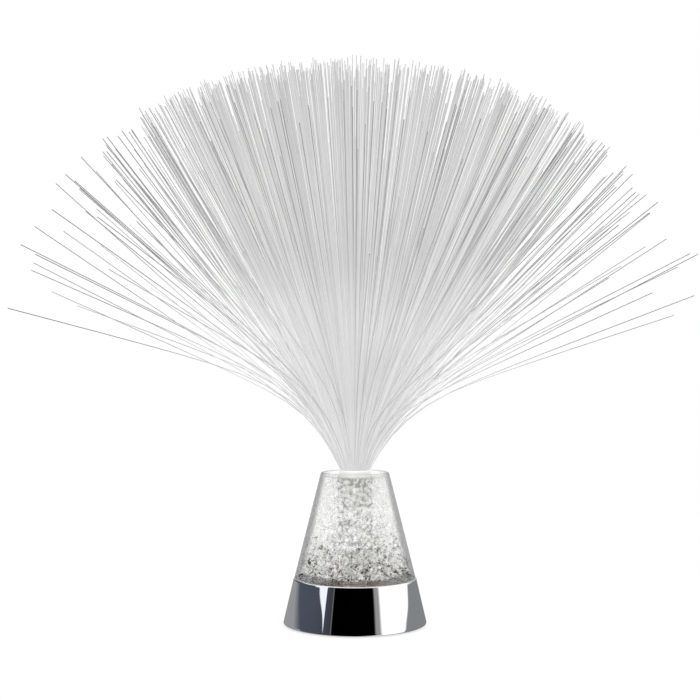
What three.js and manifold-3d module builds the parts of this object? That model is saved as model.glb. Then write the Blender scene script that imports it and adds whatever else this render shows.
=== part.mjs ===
// A battery fibre optic table lamp: a spray of plastic light fibres stands in a clear cone of
// crushed crystal on a chromed skirt, which holds three cells, a switch and a board of LEDs.
// Lengths are in millimetres, +Z is up, and the origin is under the middle of the four feet.
import * as THREE from "three";
import { mergeVertices } from "three/addons/utils/BufferGeometryUtils.js";
import Module from "manifold-3d";

const wasm = await Module();
wasm.setup();

// Clearances and cutting
const fit = 0.3;
const overrun = 1.5;
const weld = 0.0001;

// Faces round a turned piece
const largeSides = 40;
const middleSides = 32;
const smallSides = 16;
const screwSides = 10;
const leadSides = 6;
const springSides = 5;

// Steps along a curve
const edgeSteps = 2;
const roundSteps = 3;
const ridgeSteps = 4;
const hingeEdgeSteps = 6;
const springTurnSteps = 8;
const leadSpanSteps = 4;
const strandSteps = 50;

// Chromed skirt
const skirtHeight = 26.4;
const skirtTaperShare = 0.235;
const skirtWall = 2;
const skirtEdgeRadius = 0.7;
const skirtLipWall = 1.4;
const skirtLipDepth = 2;
const ledgeWidth = 5.2;
const ledgeThickness = 1.8;
const postAngle = 50;
const postRadius = 3.2;
const postInset = 2.4;
const postGap = 0.9;
const postHeight = 8.5;
const postRibThickness = 1.6;

// Base plate with its battery well
const plateRecess = 0.4;
const plateThickness = 2.4;
const plateChamfer = 0.6;
const plateMargin = 5.9;
const wellWall = 1.6;
const boardPostRadius = 2.6;
const boardPostHeight = 2.8;
const tabSlotClearance = 0.4;

// Rubber feet
const footRadius = 4.2;
const footProud = 0.8;
const footPocketDepth = 0.9;
const footEdge = 0.4;

// Cells and their contacts
const cellRadius = 5.25;
const cellLength = 44.5;
const cellGap = 0.4;
const cellNubRadius = 1.9;
const cellNubHeight = 0.9;
const cellShoulder = 0.5;
const contactThickness = 0.5;
const contactHeight = 8.6;
const contactWidth = 8;
const contactTabWidth = 2.6;
const contactTabRise = 2;
const springLength = 5;
const springWireRadius = 0.35;
const springBaseRadius = 3.1;
const springTipRadius = 1.9;
const springTurns = 3;

// Battery door
const doorGap = 0.4;
const doorPinRadius = 0.6;
const doorPinLength = 1.1;
const doorNotchRadius = 7;
const doorNotchDepth = 1;
const doorRidgeRadius = 0.5;
const doorRidgeProud = 0.2;

// Slide switch
const switchWellGap = 5.6;
const switchFootGap = 5.3;
const switchLength = 12.6;
const switchWidth = 6.4;
const switchHeight = 5.2;
const switchWall = 0.8;
const switchFrameWall = 1.1;
const switchFrameHeight = 3;
const switchPinSide = 0.8;
const switchPinRise = 1.6;
const switchPinSpacing = 3;
const knobLength = 3.6;
const knobWidth = 2.8;
const knobTravel = 3;
const knobFlange = 0.8;
const knobFlangeThickness = 1.4;
const knobProud = 0.3;
const knobGroove = 0.35;
const knobGrooveSpacing = 1.03;

// LED board and what it carries
const boardRadius = 17.5;
const boardThickness = 1.6;
const boardScrewInset = 4.5;
const spacerRadius = 7;
const spacerHeight = 5.6;
const ledRadius = 2.5;
const ledFlange = 0.4;
const ledFlangeHeight = 1;
const ledHeight = 8.6;
const ledSpacing = 0.4;
const chipLength = 6;
const chipWidth = 4;
const chipHeight = 1.1;
const chipGap = 3;
const resistorRadius = 0.75;
const resistorLength = 3.4;
const resistorX = 7.2;
const resistorGap = 3.2;
const leadRadius = 0.6;
const leadStub = 0.8;
const leadClearance = 2;
const leadBendShares = [0.75, 0.2];
const padInset = 1.8;
const padAngle = 25;
const switchPadAngle = -62;

// Screws
const screwHeadRadius = 2.7;
const screwHeadHeight = 1.3;
const screwShankRadius = 1.3;
const screwLength = 8;
const boardScrewLength = 4;
const screwSlotWidth = 0.7;
const screwSlotDepth = 0.6;

// Clear cone, its floor and the light tube
const coneStep = 0.4;
const coneTaperShare = 0.253;
const coneHeight = 60.9;
const coneWall = 2.5;
const coneEdgeRadius = 1.4;
const collarWall = 1.2;
const collarDepth = 5;
const floorThickness = 1.6;
const tubeWall = 0.8;
const tubeLedge = 1;

// Crushed crystal
const crystalTopGap = 9;
const crystalSize = 4.6;
const crystalFlat = 0.62;
const crystalRowPitch = 8.4;
const crystalAroundPitch = 9.6;

// Fibre bundle, its ferrule and the spray
const bundleRadius = 8.6;
const ferruleWall = 0.5;
const ferruleLength = 16;
const bundleProud = 1.4;
const strandLength = 243;
const strandSites = 372;
const strandFillShare = 0.72;
const coreLean = 37;
const coreLeanSkewShare = 0.14;
const edgeLean = 38;
const edgeLeanSkewShare = -0.1;
const edgeSharpness = 16;
const edgeShorterShare = 0.05;
const neckLeanShare = 0.36;
const bendLength = 40;
const scatterShare = 0.03;
const coreStationShares = [0.16, 1];
const middleStationShares = [0.1, 0.36, 1];
const outerStationShares = [0.06, 0.16, 0.4, 1];
const coreShare = 0.5;
const middleShare = 0.82;

// Levels and radii that follow from the sizes above, from the cells outwards
const skirtBottom = footProud;
const skirtTop = skirtBottom + skirtHeight;
const ledgeTop = skirtTop - skirtLipDepth;
const plateBottom = skirtBottom + plateRecess;
const plateTop = plateBottom + plateThickness;
const cellAxisZ = plateTop + doorGap + cellRadius;
const wellRoof = cellAxisZ + cellRadius + cellGap;
const wellTop = wellRoof + wellWall;
const cellPitch = 2 * cellRadius + cellGap;
const wellHalfLength = (cellLength + springLength) / 2 + contactThickness + 2 * fit;
const wellHalfWidth = cellPitch + cellRadius + cellGap;
const switchX = footRadius + switchFootGap;
const switchY = -(wellHalfWidth + wellWall + switchWellGap + switchWidth / 2);
const postX = switchX + switchLength / 2 + fit + switchFrameWall + postGap + postRadius;
const postReach = postX / Math.cos(THREE.MathUtils.degToRad(postAngle)) + postRadius + postInset;
const wellReach = Math.hypot(wellHalfLength + wellWall, wellHalfWidth + wellWall) + plateMargin;
const plateRadius = Math.max(wellReach, postReach);
const skirtBottomRadius =
  plateRadius + fit + skirtWall + (plateTop - skirtBottom) * skirtTaperShare;
const skirtTopRadius = skirtBottomRadius - skirtHeight * skirtTaperShare;
const postCircleRadius = plateRadius - postRadius - postInset;
const footCircleRadius = (wellHalfLength + wellWall + plateRadius) / 2;
const boardBottom = wellTop + boardPostHeight + fit;
const boardTop = boardBottom + boardThickness;
const boardScrewX = boardRadius - boardScrewInset;
const spacerBottom = boardTop + fit;
const spacerTop = spacerBottom + spacerHeight;
const ledCircleRadius = (2 * (ledRadius + ledFlange) + ledSpacing) / Math.sqrt(3);
const floorBottom = ledgeTop + fit;
const floorTop = floorBottom + floorThickness;
const coneFoot = skirtTop + fit;
const coneTop = coneFoot + coneHeight;
const coneFootRadius = skirtTopRadius - coneStep;
const spigotRadius = skirtTopRadius - skirtLipWall - fit;
const ferruleRadius = bundleRadius + ferruleWall;
const socketRadius = ferruleRadius + fit;
const tubeRadius = socketRadius + tubeWall;
const ferruleBottom = coneTop - ferruleLength;
const stubTop = coneTop + bundleProud;
const strandRadius = (bundleRadius * strandFillShare) / Math.sqrt(strandSites);
const terminalTop = plateTop + fit + switchHeight + switchPinRise;
const tabTop = wellTop + contactTabRise;

// A closed geometry as a solid that can be cut and joined.
function solid(geometry) {
  const bare = geometry.index ? geometry.toNonIndexed() : geometry.clone();
  bare.deleteAttribute("normal");
  bare.deleteAttribute("uv");
  const merged = mergeVertices(bare, weld);
  return new wasm.Manifold(
    new wasm.Mesh({
      numProp: 3,
      vertProperties: merged.attributes.position.array,
      triVerts: new Uint32Array(merged.index.array),
    }),
  );
}

// A profile of [radius, height] points, turned round the Z axis.
function turned(profile, sides) {
  const points = profile.map(([radius, height]) => new THREE.Vector2(radius, height));
  return solid(new THREE.LatheGeometry(points, sides).rotateX(Math.PI / 2));
}

// The same for a profile that goes round a hollow and comes back to its first point.
function turnedRing(profile, sides) {
  return turned([...profile, profile[0]], sides);
}

// An upright round bar, or a tapered one, from one level to another.
function bar(x, y, low, high, radius, sides, topRadius = radius) {
  const cylinder = new THREE.CylinderGeometry(topRadius, radius, high - low, sides);
  return solid(cylinder.rotateX(Math.PI / 2).translate(x, y, (low + high) / 2));
}

// A round bar along X or Y, from one place to another on that axis.
function barAlong(axis, start, end, radius, sides, place) {
  const cylinder = new THREE.CylinderGeometry(radius, radius, end - start, sides);
  if (axis === "x") cylinder.rotateZ(-Math.PI / 2).translate((start + end) / 2, 0, 0);
  else cylinder.translate(0, (start + end) / 2, 0);
  return solid(cylinder.translate(...place));
}

// A rectangular block between two opposite corners.
function block(low, high) {
  const size = high.map((value, i) => value - low[i]);
  const middle = high.map((value, i) => (value + low[i]) / 2);
  return solid(new THREE.BoxGeometry(...size).translate(...middle));
}

// A regular outline for what is swept along a path.
function polygon(radius, sides) {
  const turn = (2 * Math.PI) / sides;
  const corners = Array.from({ length: sides }, (_, i) => i * turn);
  return new THREE.Shape(
    corners.map((angle) => new THREE.Vector2(radius * Math.cos(angle), radius * Math.sin(angle))),
  );
}

// A round wire that follows a curve.
function wire(curve, radius, sides, steps) {
  const options = { steps, bevelEnabled: false, extrudePath: curve };
  return solid(new THREE.ExtrudeGeometry(polygon(radius, sides), options));
}

// The points of an arc about a centre, angles in degrees.
function arc(centreX, centreY, radius, from, to, steps) {
  return Array.from({ length: steps + 1 }, (_, i) => {
    const angle = THREE.MathUtils.degToRad(from + ((to - from) * i) / steps);
    return [centreX + radius * Math.cos(angle), centreY + radius * Math.sin(angle)];
  });
}

// Places spread round the axis, as [x, y] pairs, angles in degrees.
function around(radius, angles) {
  return angles.map((degrees) => {
    const angle = THREE.MathUtils.degToRad(degrees);
    return [radius * Math.cos(angle), radius * Math.sin(angle)];
  });
}

// A repeatable number from 0 to 1 for the nth draw of a series.
function scatter(index, series) {
  const golden = (Math.sqrt(5) - 1) / 2;
  return (index * golden * (series + 1) + series * Math.SQRT1_2) % 1;
}

const lamp = new THREE.Group();

// Puts a finished solid into the lamp as one named mesh with its own finish.
function place(name, made, finish) {
  const { vertProperties, triVerts } = made.getMesh();
  const geometry = new THREE.BufferGeometry();
  geometry.setAttribute("position", new THREE.BufferAttribute(vertProperties, 3));
  geometry.setIndex(new THREE.BufferAttribute(triVerts, 1));
  const material = new THREE.MeshStandardMaterial({ flatShading: true, ...finish });
  const mesh = new THREE.Mesh(geometry, material);
  mesh.name = name;
  lamp.add(mesh);
}

const chrome = { color: 0xd8dade, roughness: 0.05, metalness: 1 };
const blackPlastic = { color: 0x17181a, roughness: 0.5, metalness: 0 };
const rubber = { color: 0x2a2a2c, roughness: 0.85, metalness: 0 };
const clearPlastic = { color: 0xf2f4f5, roughness: 0.05, metalness: 0, transparent: true, opacity: 0.35 };
const crystal = { color: 0xeef1f0, roughness: 0.1, metalness: 0, transparent: true, opacity: 0.7 };
const fibrePlastic = { color: 0xe6e8ea, roughness: 0.2, metalness: 0 };
const whitePlastic = { color: 0xf0f0ee, roughness: 0.35, metalness: 0 };
const phenolic = { color: 0x9a6b45, roughness: 0.6, metalness: 0 };
const nickel = { color: 0xb9b7b0, roughness: 0.3, metalness: 1 };
const zincSteel = { color: 0x9fa3a8, roughness: 0.35, metalness: 1 };
const redSleeve = { color: 0xa8241e, roughness: 0.5, metalness: 0 };
const cellJacket = { color: 0x3d4248, roughness: 0.35, metalness: 0.2 };

const postPlaces = around(postCircleRadius, [postAngle, 180 - postAngle, 180 + postAngle, -postAngle]);
const footPlaces = around(footCircleRadius, [0, 90, 180, 270]);
const boardPostPlaces = [
  [boardScrewX, 0],
  [-boardScrewX, 0],
];

// The skirt's outer radius at a level.
function skirtRadius(level) {
  return skirtBottomRadius - (level - skirtBottom) * skirtTaperShare;
}

// The cone's outer radius at a level.
function coneRadius(level) {
  return coneFootRadius - (level - coneFoot) * coneTaperShare;
}

// The cone's inner radius at a level; below the cone's foot the bore runs straight down.
function coneInnerRadius(level) {
  return coneRadius(Math.max(level, coneFoot)) - coneWall;
}

// Tapered shell with a rebate at the top for the cone and screw posts inside.
function chromeSkirt() {
  const ledgeBottom = ledgeTop - ledgeThickness;
  const edge = skirtEdgeRadius;
  const shell = turnedRing(
    [
      [skirtRadius(skirtBottom) - skirtWall, skirtBottom],
      ...arc(skirtRadius(skirtBottom) - edge, skirtBottom + edge, edge, -90, 0, edgeSteps),
      ...arc(skirtTopRadius - edge, skirtTop - edge, edge, 0, 90, edgeSteps),
      [skirtTopRadius - skirtLipWall, skirtTop],
      [skirtTopRadius - skirtLipWall, ledgeTop],
      [skirtTopRadius - skirtLipWall - ledgeWidth, ledgeTop],
      [skirtTopRadius - skirtLipWall - ledgeWidth, ledgeBottom],
      [skirtRadius(ledgeBottom) - skirtWall, ledgeBottom],
    ],
    largeSides,
  );
  const postBottom = plateTop + fit;
  const postTop = postBottom + postHeight;
  const room = turned(
    [
      [0, postBottom],
      [skirtRadius(postBottom) - skirtWall / 2, postBottom],
      [skirtRadius(postTop) - skirtWall / 2, postTop],
      [0, postTop],
    ],
    largeSides,
  );
  let made = shell;
  for (const [x, y] of postPlaces) {
    const rib = solid(
      new THREE.BoxGeometry(skirtBottomRadius - postCircleRadius, postRibThickness, postHeight)
        .translate((skirtBottomRadius - postCircleRadius) / 2, 0, 0)
        .rotateZ(Math.atan2(y, x))
        .translate(x, y, postBottom + postHeight / 2),
    );
    const post = bar(x, y, postBottom, postTop, postRadius, smallSides).add(rib).intersect(room);
    made = made.add(post);
  }
  for (const [x, y] of postPlaces) {
    const reach = plateBottom + screwHeadHeight + screwLength + fit;
    made = made.subtract(bar(x, y, postBottom - overrun, reach, screwShankRadius + fit, screwSides));
  }
  return made;
}

// The closing plate: battery well, board posts, switch frame, foot pockets and screw holes.
function basePlate() {
  const radius = plateRadius;
  const outerLength = wellHalfLength + wellWall;
  const outerWidth = wellHalfWidth + wellWall;
  const disc = turned(
    [
      [0, plateBottom],
      [radius - plateChamfer, plateBottom],
      [radius, plateBottom + plateChamfer],
      [radius, plateTop],
      [0, plateTop],
    ],
    largeSides,
  );
  const frameLength = switchLength / 2 + fit;
  const frameWidth = switchWidth / 2 + fit;
  const frameTop = plateTop + switchFrameHeight;
  const frame = block(
    [switchX - frameLength - switchFrameWall, switchY - frameWidth - switchFrameWall, plateBottom + overrun],
    [switchX + frameLength + switchFrameWall, switchY + frameWidth + switchFrameWall, frameTop],
  ).subtract(
    block(
      [switchX - frameLength, switchY - frameWidth, plateTop],
      [switchX + frameLength, switchY + frameWidth, frameTop + overrun],
    ),
  );
  let made = disc
    .add(block([-outerLength, -outerWidth, plateBottom + overrun], [outerLength, outerWidth, wellTop]))
    .add(frame);
  for (const [x, y] of boardPostPlaces) {
    made = made
      .add(bar(x, y, wellRoof + wellWall / 2, wellTop + boardPostHeight, boardPostRadius, smallSides));
  }
  const cuts = [
    block(
      [-wellHalfLength, -wellHalfWidth, plateBottom - overrun],
      [wellHalfLength, wellHalfWidth, wellRoof],
    ),
    knobSlot(),
    hingeBore(),
    ...boardPostPlaces.map(([x, y]) => {
      const depth = boardTop - boardScrewLength - fit;
      return bar(x, y, depth, boardBottom + overrun, screwShankRadius + fit, screwSides);
    }),
    ...footPlaces.map(([x, y]) => {
      return bar(x, y, plateBottom - overrun, plateBottom + footPocketDepth, footRadius + fit, smallSides);
    }),
    ...postPlaces.map(([x, y]) => {
      const seat = plateBottom + screwHeadHeight;
      return bar(x, y, plateBottom - overrun, seat, screwHeadRadius + fit, smallSides).add(
        bar(x, y, plateBottom, plateTop + overrun, screwShankRadius + fit, smallSides),
      );
    }),
    ...[1, -1].map((end) => tabSlot(end)),
  ];
  for (const cut of cuts) made = made.subtract(cut);
  return made;
}

// The slot in the plate that the switch knob travels in.
function knobSlot() {
  const halfLength = (knobLength + knobTravel) / 2 + fit;
  const halfWidth = knobWidth / 2 + fit;
  return block(
    [switchX - halfLength, switchY - halfWidth, plateBottom - overrun],
    [switchX + halfLength, switchY + halfWidth, plateTop + overrun],
  );
}

// The hinge line of the battery door, at the middle of its thickness.
const doorHalf = plateThickness / 2;
const hingeX = doorGap - wellHalfLength + doorHalf;
const hingeZ = plateBottom + doorHalf;

// The bore through the well's side walls that takes the door's two pins.
function hingeBore() {
  const reach = wellHalfWidth - doorGap + doorPinLength + fit;
  return barAlong("y", -reach, reach, doorPinRadius + fit, smallSides, [hingeX, 0, hingeZ]);
}

// The slot in the well's roof for the tab of an end contact, end being 1 at +X and -1 at -X.
function tabSlot(end) {
  const middleX = end * (wellHalfLength - fit - contactThickness / 2);
  const middleY = end * cellPitch;
  const halfLength = contactThickness / 2 + tabSlotClearance;
  const halfWidth = contactTabWidth / 2 + tabSlotClearance;
  return block(
    [middleX - halfLength, middleY - halfWidth, wellRoof - overrun],
    [middleX + halfLength, middleY + halfWidth, wellTop + overrun],
  );
}

// One rubber foot, with a rounded lower edge.
function foot([x, y]) {
  const top = plateBottom + footPocketDepth - fit;
  const made = turned(
    [
      [0, 0],
      [footRadius - footEdge, 0],
      [footRadius, footEdge],
      [footRadius, top],
      [0, top],
    ],
    smallSides,
  );
  return made.translate([x, y, 0]);
}

// A pan head screw with its head's seat at a level, pointing up (1) or down (-1).
function screw([x, y], seat, length, pointing) {
  const dome = screwHeadHeight / 2;
  const made = turned(
    [
      [0, -screwHeadHeight],
      [screwHeadRadius - dome, -screwHeadHeight],
      [screwHeadRadius, -dome],
      [screwHeadRadius, 0],
      [screwShankRadius, 0],
      [screwShankRadius, length - screwShankRadius],
      [0, length],
    ],
    screwSides,
  );
  const slot = block(
    [-screwHeadRadius - overrun, -screwSlotWidth / 2, -screwHeadHeight - overrun],
    [screwHeadRadius + overrun, screwSlotWidth / 2, -screwHeadHeight + screwSlotDepth],
  );
  const cut = made.subtract(slot);
  return (pointing > 0 ? cut : cut.rotate([180, 0, 0])).translate([x, y, seat]);
}

// One cell along X, its nub towards +X (1) or -X (-1), in the row at y.
function cell(y, pointing) {
  const body = cellLength - cellNubHeight;
  const made = turned(
    [
      [0, 0],
      [cellRadius - cellShoulder, 0],
      [cellRadius, cellShoulder],
      [cellRadius, body - cellShoulder],
      [cellRadius - cellShoulder, body],
      [cellNubRadius, body],
      [cellNubRadius, cellLength],
      [0, cellLength],
    ],
    smallSides,
  );
  const start = wellHalfLength - contactThickness - 2 * fit - cellLength;
  return made.rotate([0, 90, 0]).translate([start, 0, 0])
    .rotate([0, 0, pointing > 0 ? 0 : 180]).translate([0, y, cellAxisZ]);
}

// A conical contact spring that runs from its plate towards the middle of the well.
class ContactSpring extends THREE.Curve {
  constructor(end, y) {
    super();
    this.end = end;
    this.y = y;
  }
  getPoint(share) {
    const angle = 2 * Math.PI * springTurns * share;
    const radius = THREE.MathUtils.lerp(springBaseRadius, springTipRadius, share);
    const inner = wellHalfLength - fit - contactThickness / 2;
    const along = inner - share * (springLength - springWireRadius);
    return new THREE.Vector3(
      this.end * along,
      this.y + radius * Math.cos(angle),
      cellAxisZ + radius * Math.sin(angle),
    );
  }
}

// A contact strip at one end, over the rows at the ys given, with a spring on one and maybe a tab.
function contact(end, ys, springY, hasTab) {
  const outer = wellHalfLength - fit;
  const inner = outer - contactThickness;
  const sideways = [Math.min(...ys) - contactWidth / 2, Math.max(...ys) + contactWidth / 2];
  const along = [end * inner, end * outer].sort((a, b) => a - b);
  let made = block(
    [along[0], sideways[0], cellAxisZ - contactHeight / 2],
    [along[1], sideways[1], cellAxisZ + contactHeight / 2],
  );
  if (hasTab) {
    made = made.add(
      block(
        [along[0], ys[0] - contactTabWidth / 2, cellAxisZ],
        [along[1], ys[0] + contactTabWidth / 2, tabTop],
      ),
    );
  }
  if (springY === null) return made;
  const steps = springTurns * springTurnSteps;
  return made.add(wire(new ContactSpring(end, springY), springWireRadius, springSides, steps));
}

// The battery door: a flat cover with a round hinge edge, two pins, a snap ridge and a finger notch.
function batteryDoor() {
  const farX = wellHalfLength - doorGap;
  const halfWidth = wellHalfWidth - doorGap;
  const outline = [
    ...arc(hingeX, hingeZ, doorHalf, 90, 270, hingeEdgeSteps),
    [farX, plateBottom],
    ...arc(farX - doorRidgeRadius + doorRidgeProud, hingeZ, doorRidgeRadius, -60, 60, ridgeSteps),
    [farX, plateTop],
  ];
  const shape = new THREE.Shape(outline.map(([x, z]) => new THREE.Vector2(x, z)));
  const cover = new THREE.ExtrudeGeometry(shape, { depth: 2 * halfWidth, bevelEnabled: false });
  cover.rotateX(Math.PI / 2).translate(0, halfWidth, 0);
  const reach = halfWidth + doorPinLength;
  const notch = bar(
    farX, 0, plateBottom - overrun, plateBottom + doorNotchDepth, doorNotchRadius, middleSides,
  );
  return solid(cover)
    .add(barAlong("y", -reach, reach, doorPinRadius, screwSides, [hingeX, 0, hingeZ]))
    .subtract(notch);
}

// The body of the slide switch: a box open below, with three solder pins on top.
function switchBody() {
  const low = plateTop + fit;
  const high = low + switchHeight;
  const halfLength = switchLength / 2;
  const halfWidth = switchWidth / 2;
  let made = block(
    [switchX - halfLength, switchY - halfWidth, low],
    [switchX + halfLength, switchY + halfWidth, high],
  ).subtract(
    block(
      [switchX - halfLength + switchWall, switchY - halfWidth + switchWall, low - overrun],
      [switchX + halfLength - switchWall, switchY + halfWidth - switchWall, high - switchWall],
    ),
  );
  for (const step of [-1, 0, 1]) {
    const x = switchX + step * switchPinSpacing;
    const half = switchPinSide / 2;
    made = made.add(
      block([x - half, switchY - half, high - switchWall / 2], [x + half, switchY + half, terminalTop]),
    );
  }
  return made;
}

// The knob: a grooved finger piece below, and above it a flange that keeps it in the switch.
function switchKnob() {
  const x = switchX - knobTravel / 2;
  const halfLength = knobLength / 2;
  const halfWidth = knobWidth / 2;
  const low = plateBottom - knobProud;
  const flangeLow = plateTop + 2 * fit;
  let made = block(
    [x - halfLength, switchY - halfWidth, low],
    [x + halfLength, switchY + halfWidth, flangeLow + knobFlangeThickness],
  ).add(
    block(
      [x - halfLength - knobFlange, switchY - halfWidth - knobFlange, flangeLow],
      [x + halfLength + knobFlange, switchY + halfWidth + knobFlange, flangeLow + knobFlangeThickness],
    ),
  );
  for (const step of [-1, 0, 1]) {
    const groove = x + step * knobGrooveSpacing;
    made = made.subtract(
      block(
        [groove - knobGroove / 2, switchY - halfWidth - overrun, low - overrun],
        [groove + knobGroove / 2, switchY + halfWidth + overrun, low + knobGroove],
      ),
    );
  }
  return made;
}

// The round LED board, with a hole for each of its two screws.
function ledBoard() {
  let made = bar(0, 0, boardBottom, boardTop, boardRadius, middleSides);
  for (const [x, y] of boardPostPlaces) {
    const hole = bar(x, y, boardBottom - overrun, boardTop + overrun, screwShankRadius + fit, screwSides);
    made = made.subtract(hole);
  }
  return made;
}

const ledPlaces = around(ledCircleRadius, [90, 210, 330]);

// One round-nosed LED, standing on the spacer.
function led([x, y]) {
  const made = turned(
    [
      [0, 0],
      [ledRadius + ledFlange, 0],
      [ledRadius + ledFlange, ledFlangeHeight],
      [ledRadius, ledFlangeHeight],
      ...arc(0, ledHeight - ledRadius, ledRadius, 0, 90, roundSteps),
    ].map(([radius, height], i, all) => [i === all.length - 1 ? 0 : radius, height]),
    screwSides,
  );
  return made.translate([x, y, spacerTop + fit]);
}

// A lead along the points given, from one solder point to another.
function lead(points) {
  const places = points.map((point) => new THREE.Vector3(...point));
  const curve = new THREE.CatmullRomCurve3(places, false, "centripetal");
  return wire(curve, leadRadius, leadSides, leadSpanSteps * (points.length - 1));
}

// The last stretch of a lead, flat on the board at an angle round it and in to its pad.
function ontoBoard(angle) {
  const level = boardTop + fit + leadRadius;
  const radii = [boardRadius + leadClearance, boardRadius - padInset];
  return radii.map((radius) => [...around(radius, [angle])[0], level]);
}

// The first stretch of a lead, up from the tab of an end contact, end being 1 at +X and -1 at -X.
function offTab(end) {
  const x = end * (wellHalfLength - fit - contactThickness / 2);
  const rise = [0, leadStub];
  return rise.map((up) => [x, end * cellPitch, tabTop + fit + up]);
}

// The same off a pin of the switch, counted from its middle one.
function offPin(step) {
  const x = switchX + step * switchPinSpacing;
  const rise = [0, leadStub + leadClearance];
  return rise.map((up) => [x, switchY, terminalTop + fit + up]);
}

// Round the side of the battery well, from the minus contact to the switch.
function leadAroundWell() {
  const side = -(wellHalfWidth + wellWall + leadClearance);
  const [start, end] = leadBendShares.map((share) => -wellHalfLength * share);
  return [
    [start, side, wellTop],
    [end, (side + switchY) / 2, (wellTop + terminalTop) / 2],
  ];
}

// The clear cone: spigot foot, tapered wall, rounded shoulder and a socket with a collar under it.
function clearCone() {
  const edge = coneEdgeRadius;
  const underside = coneTop - coneWall;
  const collarRadius = tubeRadius + fit;
  return turnedRing(
    [
      [spigotRadius, floorBottom],
      [spigotRadius, coneFoot],
      [coneFootRadius, coneFoot],
      ...arc(coneRadius(coneTop - edge) - edge, coneTop - edge, edge, 0, 90, roundSteps),
      [socketRadius, coneTop],
      [socketRadius, underside],
      [collarRadius, underside],
      [collarRadius, underside - collarDepth],
      [collarRadius + collarWall, underside - collarDepth],
      [collarRadius + collarWall, underside],
      [coneInnerRadius(underside), underside],
      [coneInnerRadius(coneFoot), coneFoot],
      [coneInnerRadius(floorBottom), floorBottom],
    ],
    largeSides,
  );
}

// The clear floor that closes the cone, with a hole for the LED spacer.
function coneFloor() {
  const radius = coneInnerRadius(floorTop) - fit;
  return turnedRing(
    [
      [spacerRadius + fit, floorBottom],
      [radius, floorBottom],
      [radius, floorTop],
      [spacerRadius + fit, floorTop],
    ],
    middleSides,
  );
}

// The tube that carries the light up to the bundle; an inner ledge stops the ferrule.
function lightTube() {
  const seat = ferruleBottom - fit;
  const low = floorTop + fit;
  const high = coneTop - coneWall - fit;
  return turnedRing(
    [
      [socketRadius - tubeLedge, low],
      [tubeRadius, low],
      [tubeRadius, high],
      [socketRadius, high],
      [socketRadius, seat],
      [socketRadius - tubeLedge, seat],
    ],
    middleSides,
  );
}

// The crushed crystal round the tube: rows of faceted lumps on a heap that fills the cone.
function crystalFill() {
  const low = floorTop + fit;
  const high = coneTop - coneWall - crystalTopGap;
  const heapRadius = (level) => coneInnerRadius(level) - fit - crystalSize;
  const inner = tubeRadius + fit;
  let made = turnedRing(
    [
      [inner, low],
      [heapRadius(low), low],
      [heapRadius(high), high],
      [inner, high],
    ],
    smallSides,
  );
  const rows = Math.floor((high - low - crystalSize) / crystalRowPitch) + 1;
  let count = 0;
  for (let row = 0; row < rows; row += 1) {
    const level = low + crystalSize + row * crystalRowPitch;
    const radius = heapRadius(level);
    const lumps = Math.round((2 * Math.PI * radius) / crystalAroundPitch);
    for (let i = 0; i < lumps; i += 1) {
      count += 1;
      const angle = (2 * Math.PI * (i + scatter(row, 2))) / lumps;
      const lump = new THREE.OctahedronGeometry(crystalSize)
        .scale(1, crystalFlat + scatter(count, 0) * (1 - crystalFlat), crystalFlat)
        .rotateX(Math.PI * scatter(count, 1))
        .rotateY(Math.PI * scatter(count, 3))
        .rotateZ(Math.PI * scatter(count, 4))
        .translate(radius * Math.cos(angle), radius * Math.sin(angle), level);
      made = made.add(solid(lump));
    }
  }
  return made;
}

// The ferrule: a thin sleeve round the bundle, rounded in at its lower end.
function ferrule() {
  return turnedRing(
    [
      [bundleRadius, ferruleBottom],
      [ferruleRadius - ferruleWall / 2, ferruleBottom],
      [ferruleRadius, ferruleBottom + ferruleWall],
      [ferruleRadius, coneTop],
      [bundleRadius, coneTop],
    ],
    middleSides,
  );
}

// The stations of a strand above its root as [distance outward, height], for its place in the
// bundle and its heading: upright on the axis, leaning more the nearer the bundle's edge it springs
// from, and a little more towards +X than towards -X. The outermost strands are the shortest.
function strandPath(place, heading, fullLength, shares) {
  const aside = Math.cos(heading);
  const edge = place ** edgeSharpness;
  const core = coreLean * place * (1 + coreLeanSkewShare * aside);
  const tipLean = core + edgeLean * edge * (1 + edgeLeanSkewShare * aside);
  const length = fullLength * (1 - edgeShorterShare * edge);
  const points = [];
  let outward = 0;
  let level = stubTop;
  for (let step = 0; step <= strandSteps; step += 1) {
    if (shares.some((share) => Math.round(share * strandSteps) === step)) points.push([outward, level]);
    const along = (length * step) / strandSteps;
    const bend = 1 - (1 - neckLeanShare) * Math.exp(-along / bendLength);
    const lean = THREE.MathUtils.degToRad(tipLean * bend);
    outward += (Math.sin(lean) * length) / strandSteps;
    level += (Math.cos(lean) * length) / strandSteps;
  }
  return points;
}

// The three corners of a strand's section at [x, y, z], tipped outwards by a lean.
function strandRing(centre, heading, lean, turn) {
  const outward = new THREE.Vector3(Math.cos(heading), Math.sin(heading), 0);
  const sideways = new THREE.Vector3(-Math.sin(heading), Math.cos(heading), 0);
  const across = outward.clone().multiplyScalar(Math.cos(lean));
  across.z = -Math.sin(lean);
  return [2, 1, 0].map((corner) => {
    const spin = turn + (corner * 2 * Math.PI) / 3;
    return new THREE.Vector3(...centre)
      .addScaledVector(across, strandRadius * Math.cos(spin))
      .addScaledVector(sideways, strandRadius * Math.sin(spin));
  });
}

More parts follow.
